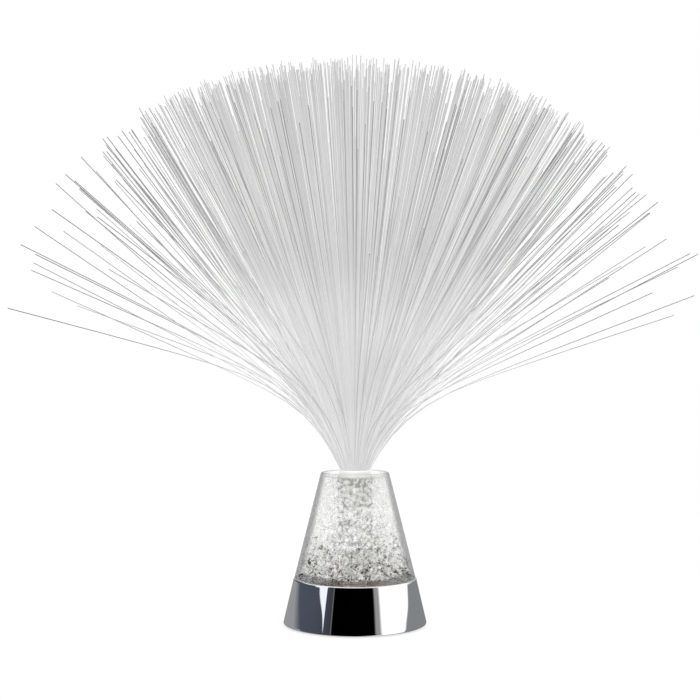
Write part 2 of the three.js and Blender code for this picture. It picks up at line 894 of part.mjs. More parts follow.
// Where the strands of one quarter spring from and how each one runs. The roots follow a
// sunflower pattern inside the quarter, and their headings fan out to fill the quarter turn, so
// that no two strands cross and the four quarters close up. The quarter itself is turned
// by an angle about the axis.
function quarterStrands(quarterTurn) {
  const golden = Math.PI * (3 - Math.sqrt(5));
  const reach = bundleRadius - fit - strandRadius - fit / 2;
  const margin = strandRadius + fit;
  const nearest = (margin * Math.SQRT2) / reach;
  const strands = [];
  for (let site = 0; site < strandSites; site += 1) {
    const share = Math.sqrt((site + 0.5) / strandSites);
    const angle = (site * golden) % (2 * Math.PI);
    const root = [share * reach * Math.cos(angle), share * reach * Math.sin(angle)];
    if (Math.min(...root) < margin) continue;
    const side = Math.asin(margin / (share * reach));
    const heading = ((angle - side) / (Math.PI / 2 - 2 * side)) * (Math.PI / 2);
    const place = (share - nearest) / (1 - nearest);
    const length = strandLength * (1 - scatterShare * scatter(site, 0));
    const outer = share > middleShare ? outerStationShares : middleStationShares;
    const shares = share < coreShare ? coreStationShares : outer;
    const path = strandPath(place, heading + quarterTurn, length, shares);
    strands.push({ root, heading, path, turn: scatter(site, 1) * Math.PI });
  }
  return strands;
}

// A quarter of the bundle: the glued stub in the ferrule, and the strands that spring from it.
function fibreQuarter(strands) {
  const radius = bundleRadius - fit;
  const inset = fit / 2;
  const cornerAngle = THREE.MathUtils.radToDeg(Math.asin(inset / radius));
  const rim = arc(0, 0, radius, cornerAngle, 90 - cornerAngle, smallSides / 2);
  const outline = [[inset, inset], ...rim].map(([x, y]) => new THREE.Vector2(x, y));
  const roots = strands.map(({ root, heading, turn }) => {
    return strandRing([...root, stubTop], heading, 0, turn);
  });
  const positions = [];
  const faces = [];
  const addPoint = (point) => positions.push(point.x, point.y, point.z) / 3 - 1;

  const topRing = outline.map(({ x, y }) => addPoint(new THREE.Vector3(x, y, stubTop)));
  const rootRings = roots.map((ring) => ring.map(addPoint));
  const bottomRing = outline.map(({ x, y }) => addPoint(new THREE.Vector3(x, y, ferruleBottom)));
  faces.push(...THREE.ShapeUtils.triangulateShape(outline, roots).flat());
  for (const [a, b, c] of THREE.ShapeUtils.triangulateShape(outline, [])) {
    faces.push(bottomRing[c], bottomRing[b], bottomRing[a]);
  }
  outline.forEach((_, i) => {
    const next = (i + 1) % outline.length;
    faces.push(bottomRing[i], bottomRing[next], topRing[next]);
    faces.push(bottomRing[i], topRing[next], topRing[i]);
  });

  strands.forEach(({ root, heading, path, turn }, k) => {
    let lower = rootRings[k];
    const out = [Math.cos(heading), Math.sin(heading)];
    path.forEach(([distance, level], i) => {
      const [lastDistance, lastLevel] = i ? path[i - 1] : [0, stubTop];
      const [nextDistance, nextLevel] = path[Math.min(i + 1, path.length - 1)];
      const lean = Math.atan2(nextDistance - lastDistance, nextLevel - lastLevel);
      const centre = [root[0] + out[0] * distance, root[1] + out[1] * distance, level];
      const upper = strandRing(centre, heading, lean, turn).map(addPoint);
      for (const corner of [0, 1, 2]) {
        const next = (corner + 1) % 3;
        faces.push(lower[next], lower[corner], upper[corner]);
        faces.push(lower[next], upper[corner], upper[next]);
      }
      lower = upper;
    });
    faces.push(lower[2], lower[1], lower[0]);
  });

  const geometry = new THREE.BufferGeometry();
  geometry.setAttribute("position", new THREE.Float32BufferAttribute(positions, 3));
  geometry.setIndex(faces);
  return solid(geometry);
}

place("chrome_skirt", chromeSkirt(), chrome);
place("base_plate", basePlate(), blackPlastic);
place("battery_door", batteryDoor(), blackPlastic);
footPlaces.forEach((spot, i) => place(`rubber_foot_${i + 1}`, foot(spot), rubber));
postPlaces.forEach((spot, i) => {
  place(`base_screw_${i + 1}`, screw(spot, plateBottom + screwHeadHeight - fit, screwLength, 1), zincSteel);
});
place("cell_1", cell(cellPitch, 1), cellJacket);
place("cell_2", cell(0, -1), cellJacket);
place("cell_3", cell(-cellPitch, 1), cellJacket);
place("contact_plus", contact(1, [cellPitch], null, true), nickel);
place("contact_link_left", contact(-1, [0, cellPitch], cellPitch, false), nickel);
place("contact_link_right", contact(1, [-cellPitch, 0], 0, false), nickel);
place("contact_minus", contact(-1, [-cellPitch], -cellPitch, true), nickel);
place("switch_body", switchBody(), blackPlastic);
place("switch_knob", switchKnob(), blackPlastic);
place("lead_plus", lead([...offTab(1), ...ontoBoard(padAngle)]), redSleeve);
place("lead_minus", lead([...offTab(-1), ...leadAroundWell(), ...offPin(-1).reverse()]), blackPlastic);
place("lead_switch", lead([...offPin(0), ...ontoBoard(switchPadAngle)]), whitePlastic);
place("led_board", ledBoard(), phenolic);
boardPostPlaces.forEach((spot, i) => {
  place(`board_screw_${i + 1}`, screw(spot, boardTop + fit, boardScrewLength, -1), zincSteel);
});
place("led_spacer", bar(0, 0, spacerBottom, spacerTop, spacerRadius, middleSides), whitePlastic);
["red", "green", "blue"].forEach((name, i) => {
  place(`led_${name}`, led(ledPlaces[i]), clearPlastic);
});
const chipBottom = boardTop + fit;
const chipFront = spacerRadius + chipGap;
place(
  "control_chip",
  block(
    [-chipLength / 2, chipFront, chipBottom],
    [chipLength / 2, chipFront + chipWidth, chipBottom + chipHeight],
  ),
  blackPlastic,
);
[1, -1].forEach((side, i) => {
  const front = -(spacerRadius + resistorGap + resistorRadius);
  const middle = [side * resistorX, front, boardTop + fit + resistorRadius];
  const made = barAlong("x", -resistorLength / 2, resistorLength / 2, resistorRadius, screwSides, middle);
  place(`resistor_${i + 1}`, made, whitePlastic);
});
place("clear_cone", clearCone(), clearPlastic);
place("cone_floor", coneFloor(), clearPlastic);
place("light_tube", lightTube(), clearPlastic);
place("crystal_fill", crystalFill(), crystal);
place("ferrule", ferrule(), whitePlastic);

for (const turn of [0, 1, 2, 3]) {
  const strands = quarterStrands((turn * Math.PI) / 2);
  place(`fibres_${turn + 1}`, fibreQuarter(strands).rotate([0, 0, 90 * turn]), fibrePlastic);
}

export default lamp;
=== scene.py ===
"""A battery fibre optic table lamp, dressed for its portrait.

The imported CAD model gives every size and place. The sections follow the lamp as it is put
together, from the skirt it stands on to the spray of light fibres. Lengths are in metres.
"""

import math

import bpy
from mathutils import Matrix, Vector


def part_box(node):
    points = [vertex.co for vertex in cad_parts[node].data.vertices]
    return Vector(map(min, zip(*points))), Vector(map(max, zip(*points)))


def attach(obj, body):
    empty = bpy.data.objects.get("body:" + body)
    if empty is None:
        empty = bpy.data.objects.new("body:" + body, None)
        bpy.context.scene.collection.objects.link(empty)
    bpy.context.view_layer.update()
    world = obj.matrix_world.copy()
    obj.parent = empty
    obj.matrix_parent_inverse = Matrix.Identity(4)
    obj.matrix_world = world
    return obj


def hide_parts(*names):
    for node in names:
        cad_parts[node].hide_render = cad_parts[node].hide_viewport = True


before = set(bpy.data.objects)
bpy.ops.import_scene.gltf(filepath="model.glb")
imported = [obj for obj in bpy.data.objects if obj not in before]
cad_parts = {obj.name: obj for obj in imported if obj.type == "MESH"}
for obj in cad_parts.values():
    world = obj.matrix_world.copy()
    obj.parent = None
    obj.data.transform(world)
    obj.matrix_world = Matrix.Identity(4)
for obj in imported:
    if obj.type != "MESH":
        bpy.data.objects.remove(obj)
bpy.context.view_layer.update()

# Camera. It stands level in front of the lamp, a little to the left of its axis, with its eye
# at the height of the spray's middle, as the ellipses of the skirt and the cone's top show.
camera_place = (-0.0029, -0.818, 0.1595)
camera_lens = 72.2


def bring_in(name, data):
    """A new object in the scene, made of its data."""
    thing = bpy.data.objects.new(name, data)
    bpy.context.scene.collection.objects.link(thing)
    return thing


camera_data = bpy.data.cameras.new("camera")
camera_data.lens = camera_lens
camera_data.sensor_width = 36
camera = bring_in("camera", camera_data)
camera.location = camera_place
camera.rotation_euler = (math.radians(90), 0, 0)
bpy.context.scene.camera = camera
bpy.context.scene.view_settings.view_transform = "Standard"


def add_node(tree, kind, sockets=None, **settings):
    """A node with its settings, whose inputs are given values or linked to other sockets."""
    node = tree.nodes.new(kind)
    for name, value in settings.items():
        setattr(node, name, value)
    for name, value in (sockets or {}).items():
        if isinstance(name, int):
            socket = node.inputs[name]
        else:
            socket = next(s for s in node.inputs if s.name == name and s.enabled)
        if isinstance(value, bpy.types.NodeSocket):
            tree.links.new(value, socket)
        else:
            socket.default_value = value
    return node


def calc(tree, operation, *values):
    """One step of arithmetic between numbers or sockets."""
    kind = "ShaderNodeMath"
    return add_node(tree, kind, dict(enumerate(values)), operation=operation).outputs[0]


def times(tree, first, second):
    """The product of two numbers or sockets."""
    return calc(tree, "MULTIPLY", first, second)


def plus(tree, first, second):
    """The sum of two numbers or sockets."""
    return calc(tree, "ADD", first, second)


def less(tree, first, second):
    """The first number or socket less the second."""
    return calc(tree, "SUBTRACT", first, second)


def axes(tree, vector):
    """The three parts of a vector, by their axis."""
    return add_node(tree, "ShaderNodeSeparateXYZ", {0: vector}).outputs


def ramp(tree, factor, stops, interpolation="LINEAR"):
    """A colour ramp with its stops as (place, grey or colour) pairs."""
    node = add_node(tree, "ShaderNodeValToRGB", {"Fac": factor})
    node.color_ramp.interpolation = interpolation
    elements = node.color_ramp.elements
    while len(elements) < len(stops):
        elements.new(1)
    for element, (place, colour) in zip(elements, stops):
        element.position = place
        element.color = colour if isinstance(colour, tuple) else (colour, colour, colour, 1)
    return node.outputs["Color"]


# Studio. A white room for the camera and for what is seen through clear plastic. Bright metal
# sees the dark and light cards that stand round the table, by their bearing from straight ahead,
# a white card above the slate one, and grey cards with slanting edges at the far left and right.
card_bearings = (
    (-180, 0.50),
    (-162, 0.50),
    (-158, (0.075, 0.088, 0.115, 1)),
    (-70, (0.062, 0.072, 0.096, 1)),
    (-51, (0.05, 0.055, 0.07, 1)),
    (-40, (0.04, 0.044, 0.055, 1)),
    (-39, 0.22),
    (-38, 0.0),
    (31.5, 0.0),
    (32.8, 0.035),
    (34, 0.21),
    (36, 0.30),
    (40.8, 0.27),
    (42.3, 0.43),
    (43.8, 0.71),
    (45.5, 1.07),
    (112, 1.07),
    (130, 0.50),
    (180, 0.50),
)
raised_foot = 0.2143
raised_sides = (-80.0, -51.7)
raised_tone = (0.90, 0.93, 0.99, 1)
left_edge = -141.5
left_slant = 446.0
left_limit = -97.0
right_edge = 166.3
right_slant = 618.0
right_limit = 85.0
left_tone = (0.29, 0.30, 0.31, 1)
right_tone = (0.22, 0.23, 0.24, 1)
overhead_tone = (0.95, 0.95, 0.95, 1)
overhead_from = 0.5
overhead_to = 0.6
waver_rate = 38.0
waver_share = 0.0022
edge_sharpness = 1200.0
ambient_strength = 0.62
spray_middle = 0.18

world = bpy.data.worlds.new("studio")
world.use_nodes = True
bpy.context.scene.world = world
tree = world.node_tree
tree.nodes.clear()
rays = add_node(tree, "ShaderNodeLightPath").outputs
bearing = axes(tree, add_node(tree, "ShaderNodeTexCoord").outputs["Generated"])
turn = calc(tree, "ARCTAN2", bearing["X"], times(tree, bearing["Y"], -1.0))
turn_share = plus(tree, calc(tree, "DIVIDE", turn, 2 * math.pi), 0.5)
waver = calc(tree, "SINE", times(tree, bearing["Z"], waver_rate))
turn_share = plus(tree, turn_share, times(tree, waver, waver_share))
cards = ramp(tree, turn_share, [(place / 360 + 0.5, tone) for place, tone in card_bearings])
degrees = calc(tree, "MULTIPLY_ADD", turn_share, 360.0, -180.0)


def clamped(tree, value):
    """A value held between nought and one."""
    return add_node(tree, "ShaderNodeClamp", {"Value": value}).outputs[0]


def blend(tree, factor, first, second):
    """Two colours mixed by a factor."""
    sockets = {"Factor": factor, "A": first, "B": second}
    return add_node(tree, "ShaderNodeMix", sockets, data_type="RGBA").outputs["Result"]


def layered(tree, share, under, over):
    """Two shaders mixed by the share of the second."""
    return add_node(tree, "ShaderNodeMixShader", {0: share, 1: under, 2: over}).outputs[0]


on_raised = clamped(tree, times(tree, less(tree, bearing["Z"], raised_foot), edge_sharpness))
for side in (
    less(tree, degrees, raised_sides[0]),
    less(tree, raised_sides[1], degrees),
):
    on_raised = times(tree, on_raised, clamped(tree, side))
cards = blend(tree, on_raised, cards, raised_tone)
left_line = calc(tree, "MULTIPLY_ADD", bearing["Z"], -left_slant, degrees)
left_line = less(tree, left_line, left_edge)
on_left = clamped(tree, calc(tree, "MULTIPLY_ADD", left_line, 0.1, 0.4))
on_left = times(tree, on_left, clamped(tree, less(tree, left_limit, degrees)))
cards = blend(tree, on_left, cards, left_tone)
right_line = calc(tree, "MULTIPLY_ADD", bearing["Z"], right_slant, degrees)
right_line = less(tree, right_edge, right_line)
on_right = clamped(tree, calc(tree, "MULTIPLY_ADD", right_line, 0.5, 0.5))
on_right = times(tree, on_right, clamped(tree, less(tree, degrees, right_limit)))
cards = blend(tree, on_right, cards, right_tone)
overhead = add_node(
    tree,
    "ShaderNodeMapRange",
    {"Value": bearing["Z"], "From Min": overhead_from, "From Max": overhead_to},
).outputs[0]
mirrored = blend(tree, overhead, cards, overhead_tone)
ambient = (ambient_strength, ambient_strength, ambient_strength, 1)
lit = blend(tree, rays["Is Glossy Ray"], ambient, mirrored)
seen = calc(tree, "MAXIMUM", rays["Is Camera Ray"], rays["Is Transmission Ray"])
shown = blend(tree, seen, lit, (1, 1, 1, 1))
background = add_node(tree, "ShaderNodeBackground", {"Color": shown})
add_node(tree, "ShaderNodeOutputWorld", {"Surface": background.outputs[0]})


def softbox(name, place, size, power):
    """A large square lamp that faces the middle of the spray and stays out of reflections."""
    data = bpy.data.lights.new(name, "AREA")
    data.size = size
    data.energy = power
    lamp = bring_in(name, data)
    lamp.location = place
    aim = Vector((0, 0, spray_middle)) - lamp.location
    lamp.rotation_euler = aim.to_track_quat("-Z", "Y").to_euler()
    lamp.visible_glossy = False


softbox("key_softbox", (0.75, -0.9, 0.95), 0.8, 9)
softbox("fill_softbox", (-0.95, -0.7, 0.6), 0.9, 6)
softbox("top_softbox", (0, 0.15, 1.3), 0.9, 7)

# The table top: white to the camera but for the lamp's soft shadow. The chrome sees the cards
# below it as well, and from below it can't be seen, so that the underside can be looked at.
table_reach = 4.0
shadow_core = 0.04
shadow_reach = 0.30
shadow_share = 0.30

table_mesh = bpy.data.meshes.new("table_top")
corners = [(-1, -1), (1, -1), (1, 1), (-1, 1)]
table_mesh.from_pydata([(x * table_reach, y * table_reach, 0) for x, y in corners], [], [(0, 1, 2, 3)])
table_top = bring_in("table_top", table_mesh)
table_paint = bpy.data.materials.new("table_paint")
table_paint.use_nodes = True
tree = table_paint.node_tree
tree.nodes.clear()
rays = add_node(tree, "ShaderNodeLightPath").outputs
spot = add_node(tree, "ShaderNodeTexCoord").outputs["Object"]
away = add_node(tree, "ShaderNodeVectorMath", {0: spot}, operation="LENGTH").outputs["Value"]
shadow_range = {"From Min": shadow_core, "From Max": shadow_reach, "To Min": shadow_share, "To Max": 0.0}
shaded = add_node(tree, "ShaderNodeMapRange", {"Value": away, **shadow_range}).outputs[0]
paint = add_node(tree, "ShaderNodeBsdfDiffuse", {"Color": (0.9, 0.9, 0.9, 1)}).outputs[0]
white = add_node(tree, "ShaderNodeEmission", {"Color": (1, 1, 1, 1)}).outputs[0]
clear = add_node(tree, "ShaderNodeBsdfTransparent").outputs[0]
top = layered(tree, shaded, white, paint)
unseen = add_node(tree, "ShaderNodeNewGeometry").outputs["Backfacing"]
for kind in ("Is Glossy Ray", "Is Diffuse Ray", "Is Shadow Ray"):
    unseen = calc(tree, "MAXIMUM", unseen, rays[kind])
top = layered(tree, unseen, top, clear)
add_node(tree, "ShaderNodeOutputMaterial", {"Surface": top})
table_mesh.materials.append(table_paint)


# Chromed skirt. A tapered ring moulded in plastic and plated mirror bright, with a rolled lower
# edge, a thin lip round the cone's foot and a ledge inside that the clear parts rest on.
skirt_low, skirt_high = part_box("chrome_skirt")
skirt_taper = 0.235
skirt_wall = 0.0020
skirt_edge = 0.0007
skirt_lip_wall = 0.0014
skirt_lip_depth = 0.0020
skirt_ledge_width = 0.0052
skirt_ledge_thickness = 0.0018
smooth_sides = 160


def arc(centre, radius, start, end, steps):
    """Points of an arc, as (radius, height) pairs, from one angle to another in degrees."""
    angles = [math.radians(start + (end - start) * i / steps) for i in range(steps + 1)]
    return [(centre[0] + radius * math.cos(a), centre[1] + radius * math.sin(a)) for a in angles]


def eased_wall(line, taper, low_edge, high_edge, steps):
    """A tapered wall that runs into a rounded edge at each end. The line gives its radius and its
    level at the foot and its level at the top."""
    radius, foot, top = line
    lean = math.degrees(math.atan(taper))
    ends = []
    for level, edge in ((foot + low_edge, low_edge), (top - high_edge, high_edge)):
        ends.append((radius - (level - foot) * taper - edge * math.hypot(1, taper), level))
    start = arc(ends[0], low_edge, -90, lean, steps)
    end = arc(ends[1], high_edge, lean, 90, steps)
    wall = []
    ring_shares = (0.02, 0.06, 0.5, 0.94, 0.98)
    for share in ring_shares:
        wall.append([a + (b - a) * share for a, b in zip(start[-1], end[0])])
    return [*start, *wall, *end]


def turned_piece(name, profile, sides=smooth_sides, closed=True):
    """A mesh turned round the lamp's axis from a profile of (radius, height) points, which runs
    anticlockwise. An open profile starts and ends on the axis."""
    rings = [p for p in profile if p[0] > 0]
    points = [
        (radius * math.cos(2 * math.pi * k / sides), radius * math.sin(2 * math.pi * k / sides), height)
        for radius, height in rings
        for k in range(sides)
    ]
    faces = []
    count = len(rings)
    for ring in range(count if closed else count - 1):
        upper = (ring + 1) % count
        for k in range(sides):
            after = (k + 1) % sides
            faces.append((ring * sides + k, ring * sides + after, upper * sides + after, upper * sides + k))
    if not closed:
        for ring, (radius, height) in ((0, profile[0]), (count - 1, profile[-1])):
            points.append((0, 0, height))
            for k in range(sides):
                after = (k + 1) % sides
                edge = (ring * sides + k, ring * sides + after)
                faces.append((*(edge if ring else edge[::-1]), len(points) - 1))
    mesh = bpy.data.meshes.new(name)
    mesh.from_pydata(points, [], faces)
    mesh.polygons.foreach_set("use_smooth", [True] * len(mesh.polygons))
    mesh.set_sharp_from_angle(angle=math.radians(35))
    return bring_in(name, mesh)


def fit_out(piece, material, body, slot, *nodes):
    """Gives a finished piece its material, its body and the nodes it stands for. Its slot is not used."""
    piece.data.materials.clear()
    piece.data.materials.append(material)
    piece.data.polygons.foreach_set("material_index", [0] * len(piece.data.polygons))
    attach(piece, body)
    if nodes:
        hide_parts(*nodes)


def new_material(name):
    """An empty material, with its node tree and the point that each spot has on the piece."""
    material = bpy.data.materials.new(name)
    material.use_nodes = True
    material.node_tree.nodes.clear()
    tree = material.node_tree
    return material, tree, add_node(tree, "ShaderNodeTexCoord").outputs["Object"]


def grain(tree, spot, scale, detail=3.0):
    """Fine noise over a piece, with its middle near one half."""
    return add_node(
        tree, "ShaderNodeTexNoise", {"Vector": spot, "Scale": scale, "Detail": detail}
    ).outputs["Fac"]


def spread(tree, value, low, high, start=0.3, end=0.7):
    """A value brought from one range to another."""
    return add_node(
        tree,
        "ShaderNodeMapRange",
        {"Value": value, "From Min": start, "From Max": end, "To Min": low, "To Max": high},
    ).outputs[0]


def bumps(tree, height, depth):
    """A surface normal with small relief of the given depth."""
    return add_node(
        tree, "ShaderNodeBump", {"Height": height, "Distance": depth, "Strength": 1.0}
    ).outputs[0]


def surface(tree, **sockets):
    """A principled surface, wired to the output."""
    named = {name.replace("_", " "): value for name, value in sockets.items()}
    node = add_node(tree, "ShaderNodeBsdfPrincipled", named)
    add_node(tree, "ShaderNodeOutputMaterial", {"Surface": node.outputs[0]})


def chrome_plate():
    """Mirror plating, with the faint ripple of the moulding under it and a trace of handling."""
    material, tree, spot = new_material("chrome_plate")
    ripple = grain(tree, spot, 22.0, 1.0)
    haze = grain(tree, spot, 60.0, 4.0)
    surface(
        tree,
        Base_Color=ramp(tree, haze, [(0.3, 0.95), (0.7, 0.99)]),
        Metallic=1.0,
        Roughness=spread(tree, haze, 0.01, 0.03),
        Normal=bumps(tree, ripple, 0.00018),
    )
    return material


foot_radius = skirt_high.x
skirt_top_radius = foot_radius - (skirt_high.z - skirt_low.z) * skirt_taper
lip_radius = skirt_top_radius - skirt_lip_wall
ledge_top = skirt_high.z - skirt_lip_depth
ledge_under = ledge_top - skirt_ledge_thickness
inner_low = foot_radius - skirt_wall
inner_high = foot_radius - (ledge_under - skirt_low.z) * skirt_taper - skirt_wall
skirt_shell = turned_piece(
    "skirt_shell",
    [
        (inner_low, skirt_low.z),
        *eased_wall((foot_radius, skirt_low.z, skirt_high.z), skirt_taper, skirt_edge, skirt_edge, 6),
        (lip_radius, skirt_high.z),
        (lip_radius, ledge_top),
        (lip_radius - skirt_ledge_width, ledge_top),
        (lip_radius - skirt_ledge_width, ledge_under),
        (inner_high, ledge_under),
    ],
)
fit_out(skirt_shell, chrome_plate(), "base", "chrome", "chrome_skirt")


# Base plate, battery door and switch. Black mouldings with a fine spark-eroded texture; the
# well, the posts and the frame of the switch are moulded on the plate, and the door hangs on it.
def black_moulding():
    """Black plastic with a fine even texture and slightly paler, worn spots."""
    material, tree, spot = new_material("black_moulding")
    texture = grain(tree, spot, 2600.0, 2.0)
    wear = grain(tree, spot, 90.0, 5.0)
    surface(
        tree,
        Base_Color=ramp(tree, wear, [(0.35, (0.014, 0.014, 0.015, 1)), (0.7, (0.026, 0.026, 0.028, 1))]),
        Roughness=spread(tree, wear, 0.42, 0.58),
        Normal=bumps(tree, texture, 0.00003),
    )
    return material


def dress(material, *nodes):
    """Gives CAD nodes that are shown as they are their material."""
    for name in nodes:
        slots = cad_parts[name].data.materials
        slots.clear()
        slots.append(material)


black = black_moulding()
dress(black, "base_plate", "battery_door", "switch_body", "switch_knob", "lead_minus", "control_chip")


# Rubber feet. Four round pads with an eased lower edge, pressed into shallow pockets under the
# plate. They are moulded in dull black rubber.
def group_inputs(tree, **values):
    """Named inputs of a geometry tree, as sockets: whole for counts and seeds, else real numbers."""
    for name, value in values.items():
        kind = "NodeSocketInt" if isinstance(value, int) else "NodeSocketFloat"
        socket = tree.interface.new_socket(name.replace("_", " "), in_out="INPUT", socket_type=kind)
        socket.default_value = value
    outputs = tree.nodes.new("NodeGroupInput").outputs
    return {name: outputs[name.replace("_", " ")] for name in values}


def geometry_tree(name):
    """A new geometry tree with its geometry output."""
    tree = bpy.data.node_groups.new(name, "GeometryNodeTree")
    tree.interface.new_socket("Geometry", in_out="OUTPUT", socket_type="NodeSocketGeometry")
    return tree


def close_tree(tree, geometry, material):
    """Realizes what a tree has made, gives it its material and sends it out."""
    real = add_node(tree, "GeometryNodeRealizeInstances", {"Geometry": geometry}).outputs[0]
    done = add_node(tree, "GeometryNodeSetMaterial", {"Geometry": real, "Material": material})
    add_node(tree, "NodeGroupOutput", {"Geometry": done.outputs[0]})


def grow(name, tree, **values):
    """Runs a geometry tree with its inputs set, and keeps what it makes as a plain mesh."""
    host = bring_in(name + "_host", bpy.data.meshes.new(name + "_host"))
    modifier = host.modifiers.new("grow", "NODES")
    modifier.node_group = tree
    sockets = {s.name: s.identifier for s in tree.interface.items_tree if s.in_out == "INPUT"}
    for key, value in values.items():
        modifier[sockets[key.replace("_", " ")]] = value
    bpy.context.view_layer.update()
    mesh = bpy.data.meshes.new_from_object(host.evaluated_get(bpy.context.evaluated_depsgraph_get()))
    bpy.data.objects.remove(host)
    mesh.name = name
    return bring_in(name, mesh)


def spots(*nodes):
    """An object with a point in the middle of each of the CAD nodes."""
    boxes = [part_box(node) for node in nodes]
    mesh = bpy.data.meshes.new("spots")
    mesh.from_pydata([(low + high) / 2 for low, high in boxes], [], [])
    return bring_in("spots", mesh)


def point(tree, x, y, z):
    """A vector from its three parts."""
    return add_node(tree, "ShaderNodeCombineXYZ", {"X": x, "Y": y, "Z": z}).outputs[0]


def shape_of(tree, thing):
    """The mesh of another object, as it lies."""
    return add_node(tree, "GeometryNodeObjectInfo", {"Object": thing}).outputs["Geometry"]


def set_copies(name, pattern, material, *nodes, turn_step=0.0):
    """Copies of a pattern piece in the places of CAD nodes, each turned a step further."""
    places = spots(*nodes)
    tree = geometry_tree(name)
    given = group_inputs(tree, Turn_Step=0.0)
    at = shape_of(tree, places)
    shape = shape_of(tree, pattern)
    index = add_node(tree, "GeometryNodeInputIndex").outputs[0]
    turned_by = times(tree, index, given["Turn_Step"])
    turn = point(tree, 0.0, 0.0, turned_by)
    copies = add_node(
        tree, "GeometryNodeInstanceOnPoints", {"Points": at, "Instance": shape, "Rotation": turn}
    )
    close_tree(tree, copies.outputs[0], material)
    piece = grow(name, tree, Turn_Step=turn_step)
    bpy.data.objects.remove(pattern)
    bpy.data.objects.remove(places)
    return piece


def flecked(name, scale, detail, tones, roughness, relief=0.0, **others):
    """A material whose tone and roughness follow one fine fleck, which may stand in relief."""
    material, tree, spot = new_material(name)
    fleck = grain(tree, spot, scale, detail)
    if relief:
        others["Normal"] = bumps(tree, fleck, relief)
    tone = ramp(tree, fleck, tones)
    surface(tree, Base_Color=tone, Roughness=spread(tree, fleck, *roughness), **others)
    return material


pad_low, pad_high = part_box("rubber_foot_1")
pad_radius = (pad_high.y - pad_low.y) / 2
pad_edge = 0.0004
pad_half = (pad_high.z - pad_low.z) / 2
pad_pattern = turned_piece(
    "pad_pattern",
    [
        (0, -pad_half),
        *arc((pad_radius - pad_edge, pad_edge - pad_half), pad_edge, -90, 0, 4),
        (pad_radius, pad_half),
        (0, pad_half),
    ],
    48,
    closed=False,
)
pad_nodes = [f"rubber_foot_{i}" for i in range(1, 5)]
rubber_tones = [(0.3, (0.018, 0.018, 0.018, 1)), (0.75, (0.045, 0.044, 0.042, 1))]
rubber = flecked("dull_rubber", 900.0, 4.0, rubber_tones, (0.8, 0.95), relief=0.00005)
pads = set_copies("rubber_feet", pad_pattern, rubber, *pad_nodes)
fit_out(pads, rubber, "base", "rubber", *pad_nodes)


# Screws. Zinc-plated, with a domed slotted head. Four hold the plate from below, with their heads
# in its underside, and two hold the board down on its posts.
head_radius = 0.0027
head_height = 0.0013
head_dome = 0.00065
shank_radius = 0.0013
slot_width = 0.0007
slot_depth = 0.0006
slot_length_share = 1.2


def slotted(pattern, level):
    """Cuts a straight slot across a screw's head at a level."""
    mesh = bpy.data.meshes.new("slot")
    long, wide, deep = head_radius * slot_length_share, slot_width / 2, slot_depth
    corners = [(x * long, y * wide, level + z * deep) for x in (-1, 1) for y in (-1, 1) for z in (-1, 1)]
    faces = [(0, 1, 3, 2), (4, 6, 7, 5), (0, 4, 5, 1), (2, 3, 7, 6), (0, 2, 6, 4), (1, 5, 7, 3)]
    mesh.from_pydata(corners, [], faces)
    cutter = bring_in("slot", mesh)
    tree = geometry_tree("slot in a screw head")
    head = shape_of(tree, pattern)
    slot = shape_of(tree, cutter)
    sockets = {"Mesh 1": head, "Mesh 2": slot}
    cut = add_node(tree, "GeometryNodeMeshBoolean", sockets, operation="DIFFERENCE")
    close_tree(tree, cut.outputs[0], None)
    piece = grow("slotted_screw", tree)
    bpy.data.objects.remove(cutter)
    bpy.data.objects.remove(pattern)
    return piece


def screw_pattern(node, head_below):
    """A screw as long as a CAD node, with its head at the lower or the upper end."""
    low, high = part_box(node)
    length = high.z - low.z
    dome = [math.radians(90 * i / 5) for i in range(6)]
    profile = [
        *[(head_radius * math.sin(a), head_dome * (1 - math.cos(a))) for a in dome],
        (head_radius, head_height),
        (shank_radius, head_height),
        (shank_radius, length - shank_radius / 2),
        (0, length),
    ]
    profile = [(radius, height - length / 2) for radius, height in profile]
    if not head_below:
        profile = [(radius, -height) for radius, height in reversed(profile)]
    blank = turned_piece("screw_blank", profile, 32, closed=False)
    return slotted(blank, -length / 2 if head_below else length / 2)


zinc_tones = [(0.3, (0.50, 0.51, 0.53, 1)), (0.7, (0.66, 0.67, 0.68, 1))]
zinc = flecked("zinc_plate", 1500.0, 4.0, zinc_tones, (0.26, 0.42), relief=0.00002, Metallic=1.0)
slot_turn = 1.1
for name, count, head_below in (("base_screw", 4, True), ("board_screw", 2, False)):
    nodes = [f"{name}_{i + 1}" for i in range(count)]
    pattern = screw_pattern(nodes[0], head_below)
    screws = set_copies(name + "s", pattern, zinc, *nodes, turn_step=slot_turn)
    fit_out(screws, zinc, "base", "zinc_steel", *nodes)


# Cells and contacts. Three plain dark cells lie side by side, head to tail, between contacts bent
# from nickel-plated spring steel.
def cell_jacket(bare_from):
    """A plain dark jacket, and the bare steel of the cell's two ends."""
    material, tree, spot = new_material("cell_jacket")
    along = axes(tree, spot)["X"]
    bare = calc(tree, "GREATER_THAN", calc(tree, "ABSOLUTE", along), bare_from)
    scuffs = grain(tree, spot, 500.0, 4.0)
    dark = ramp(tree, scuffs, [(0.3, (0.040, 0.048, 0.056, 1)), (0.75, (0.075, 0.085, 0.095, 1))])
    surface(
        tree,
        Base_Color=blend(tree, bare, dark, (0.62, 0.61, 0.58, 1)),
        Metallic=bare,
        Roughness=spread(tree, scuffs, 0.22, 0.34),
    )
    return material


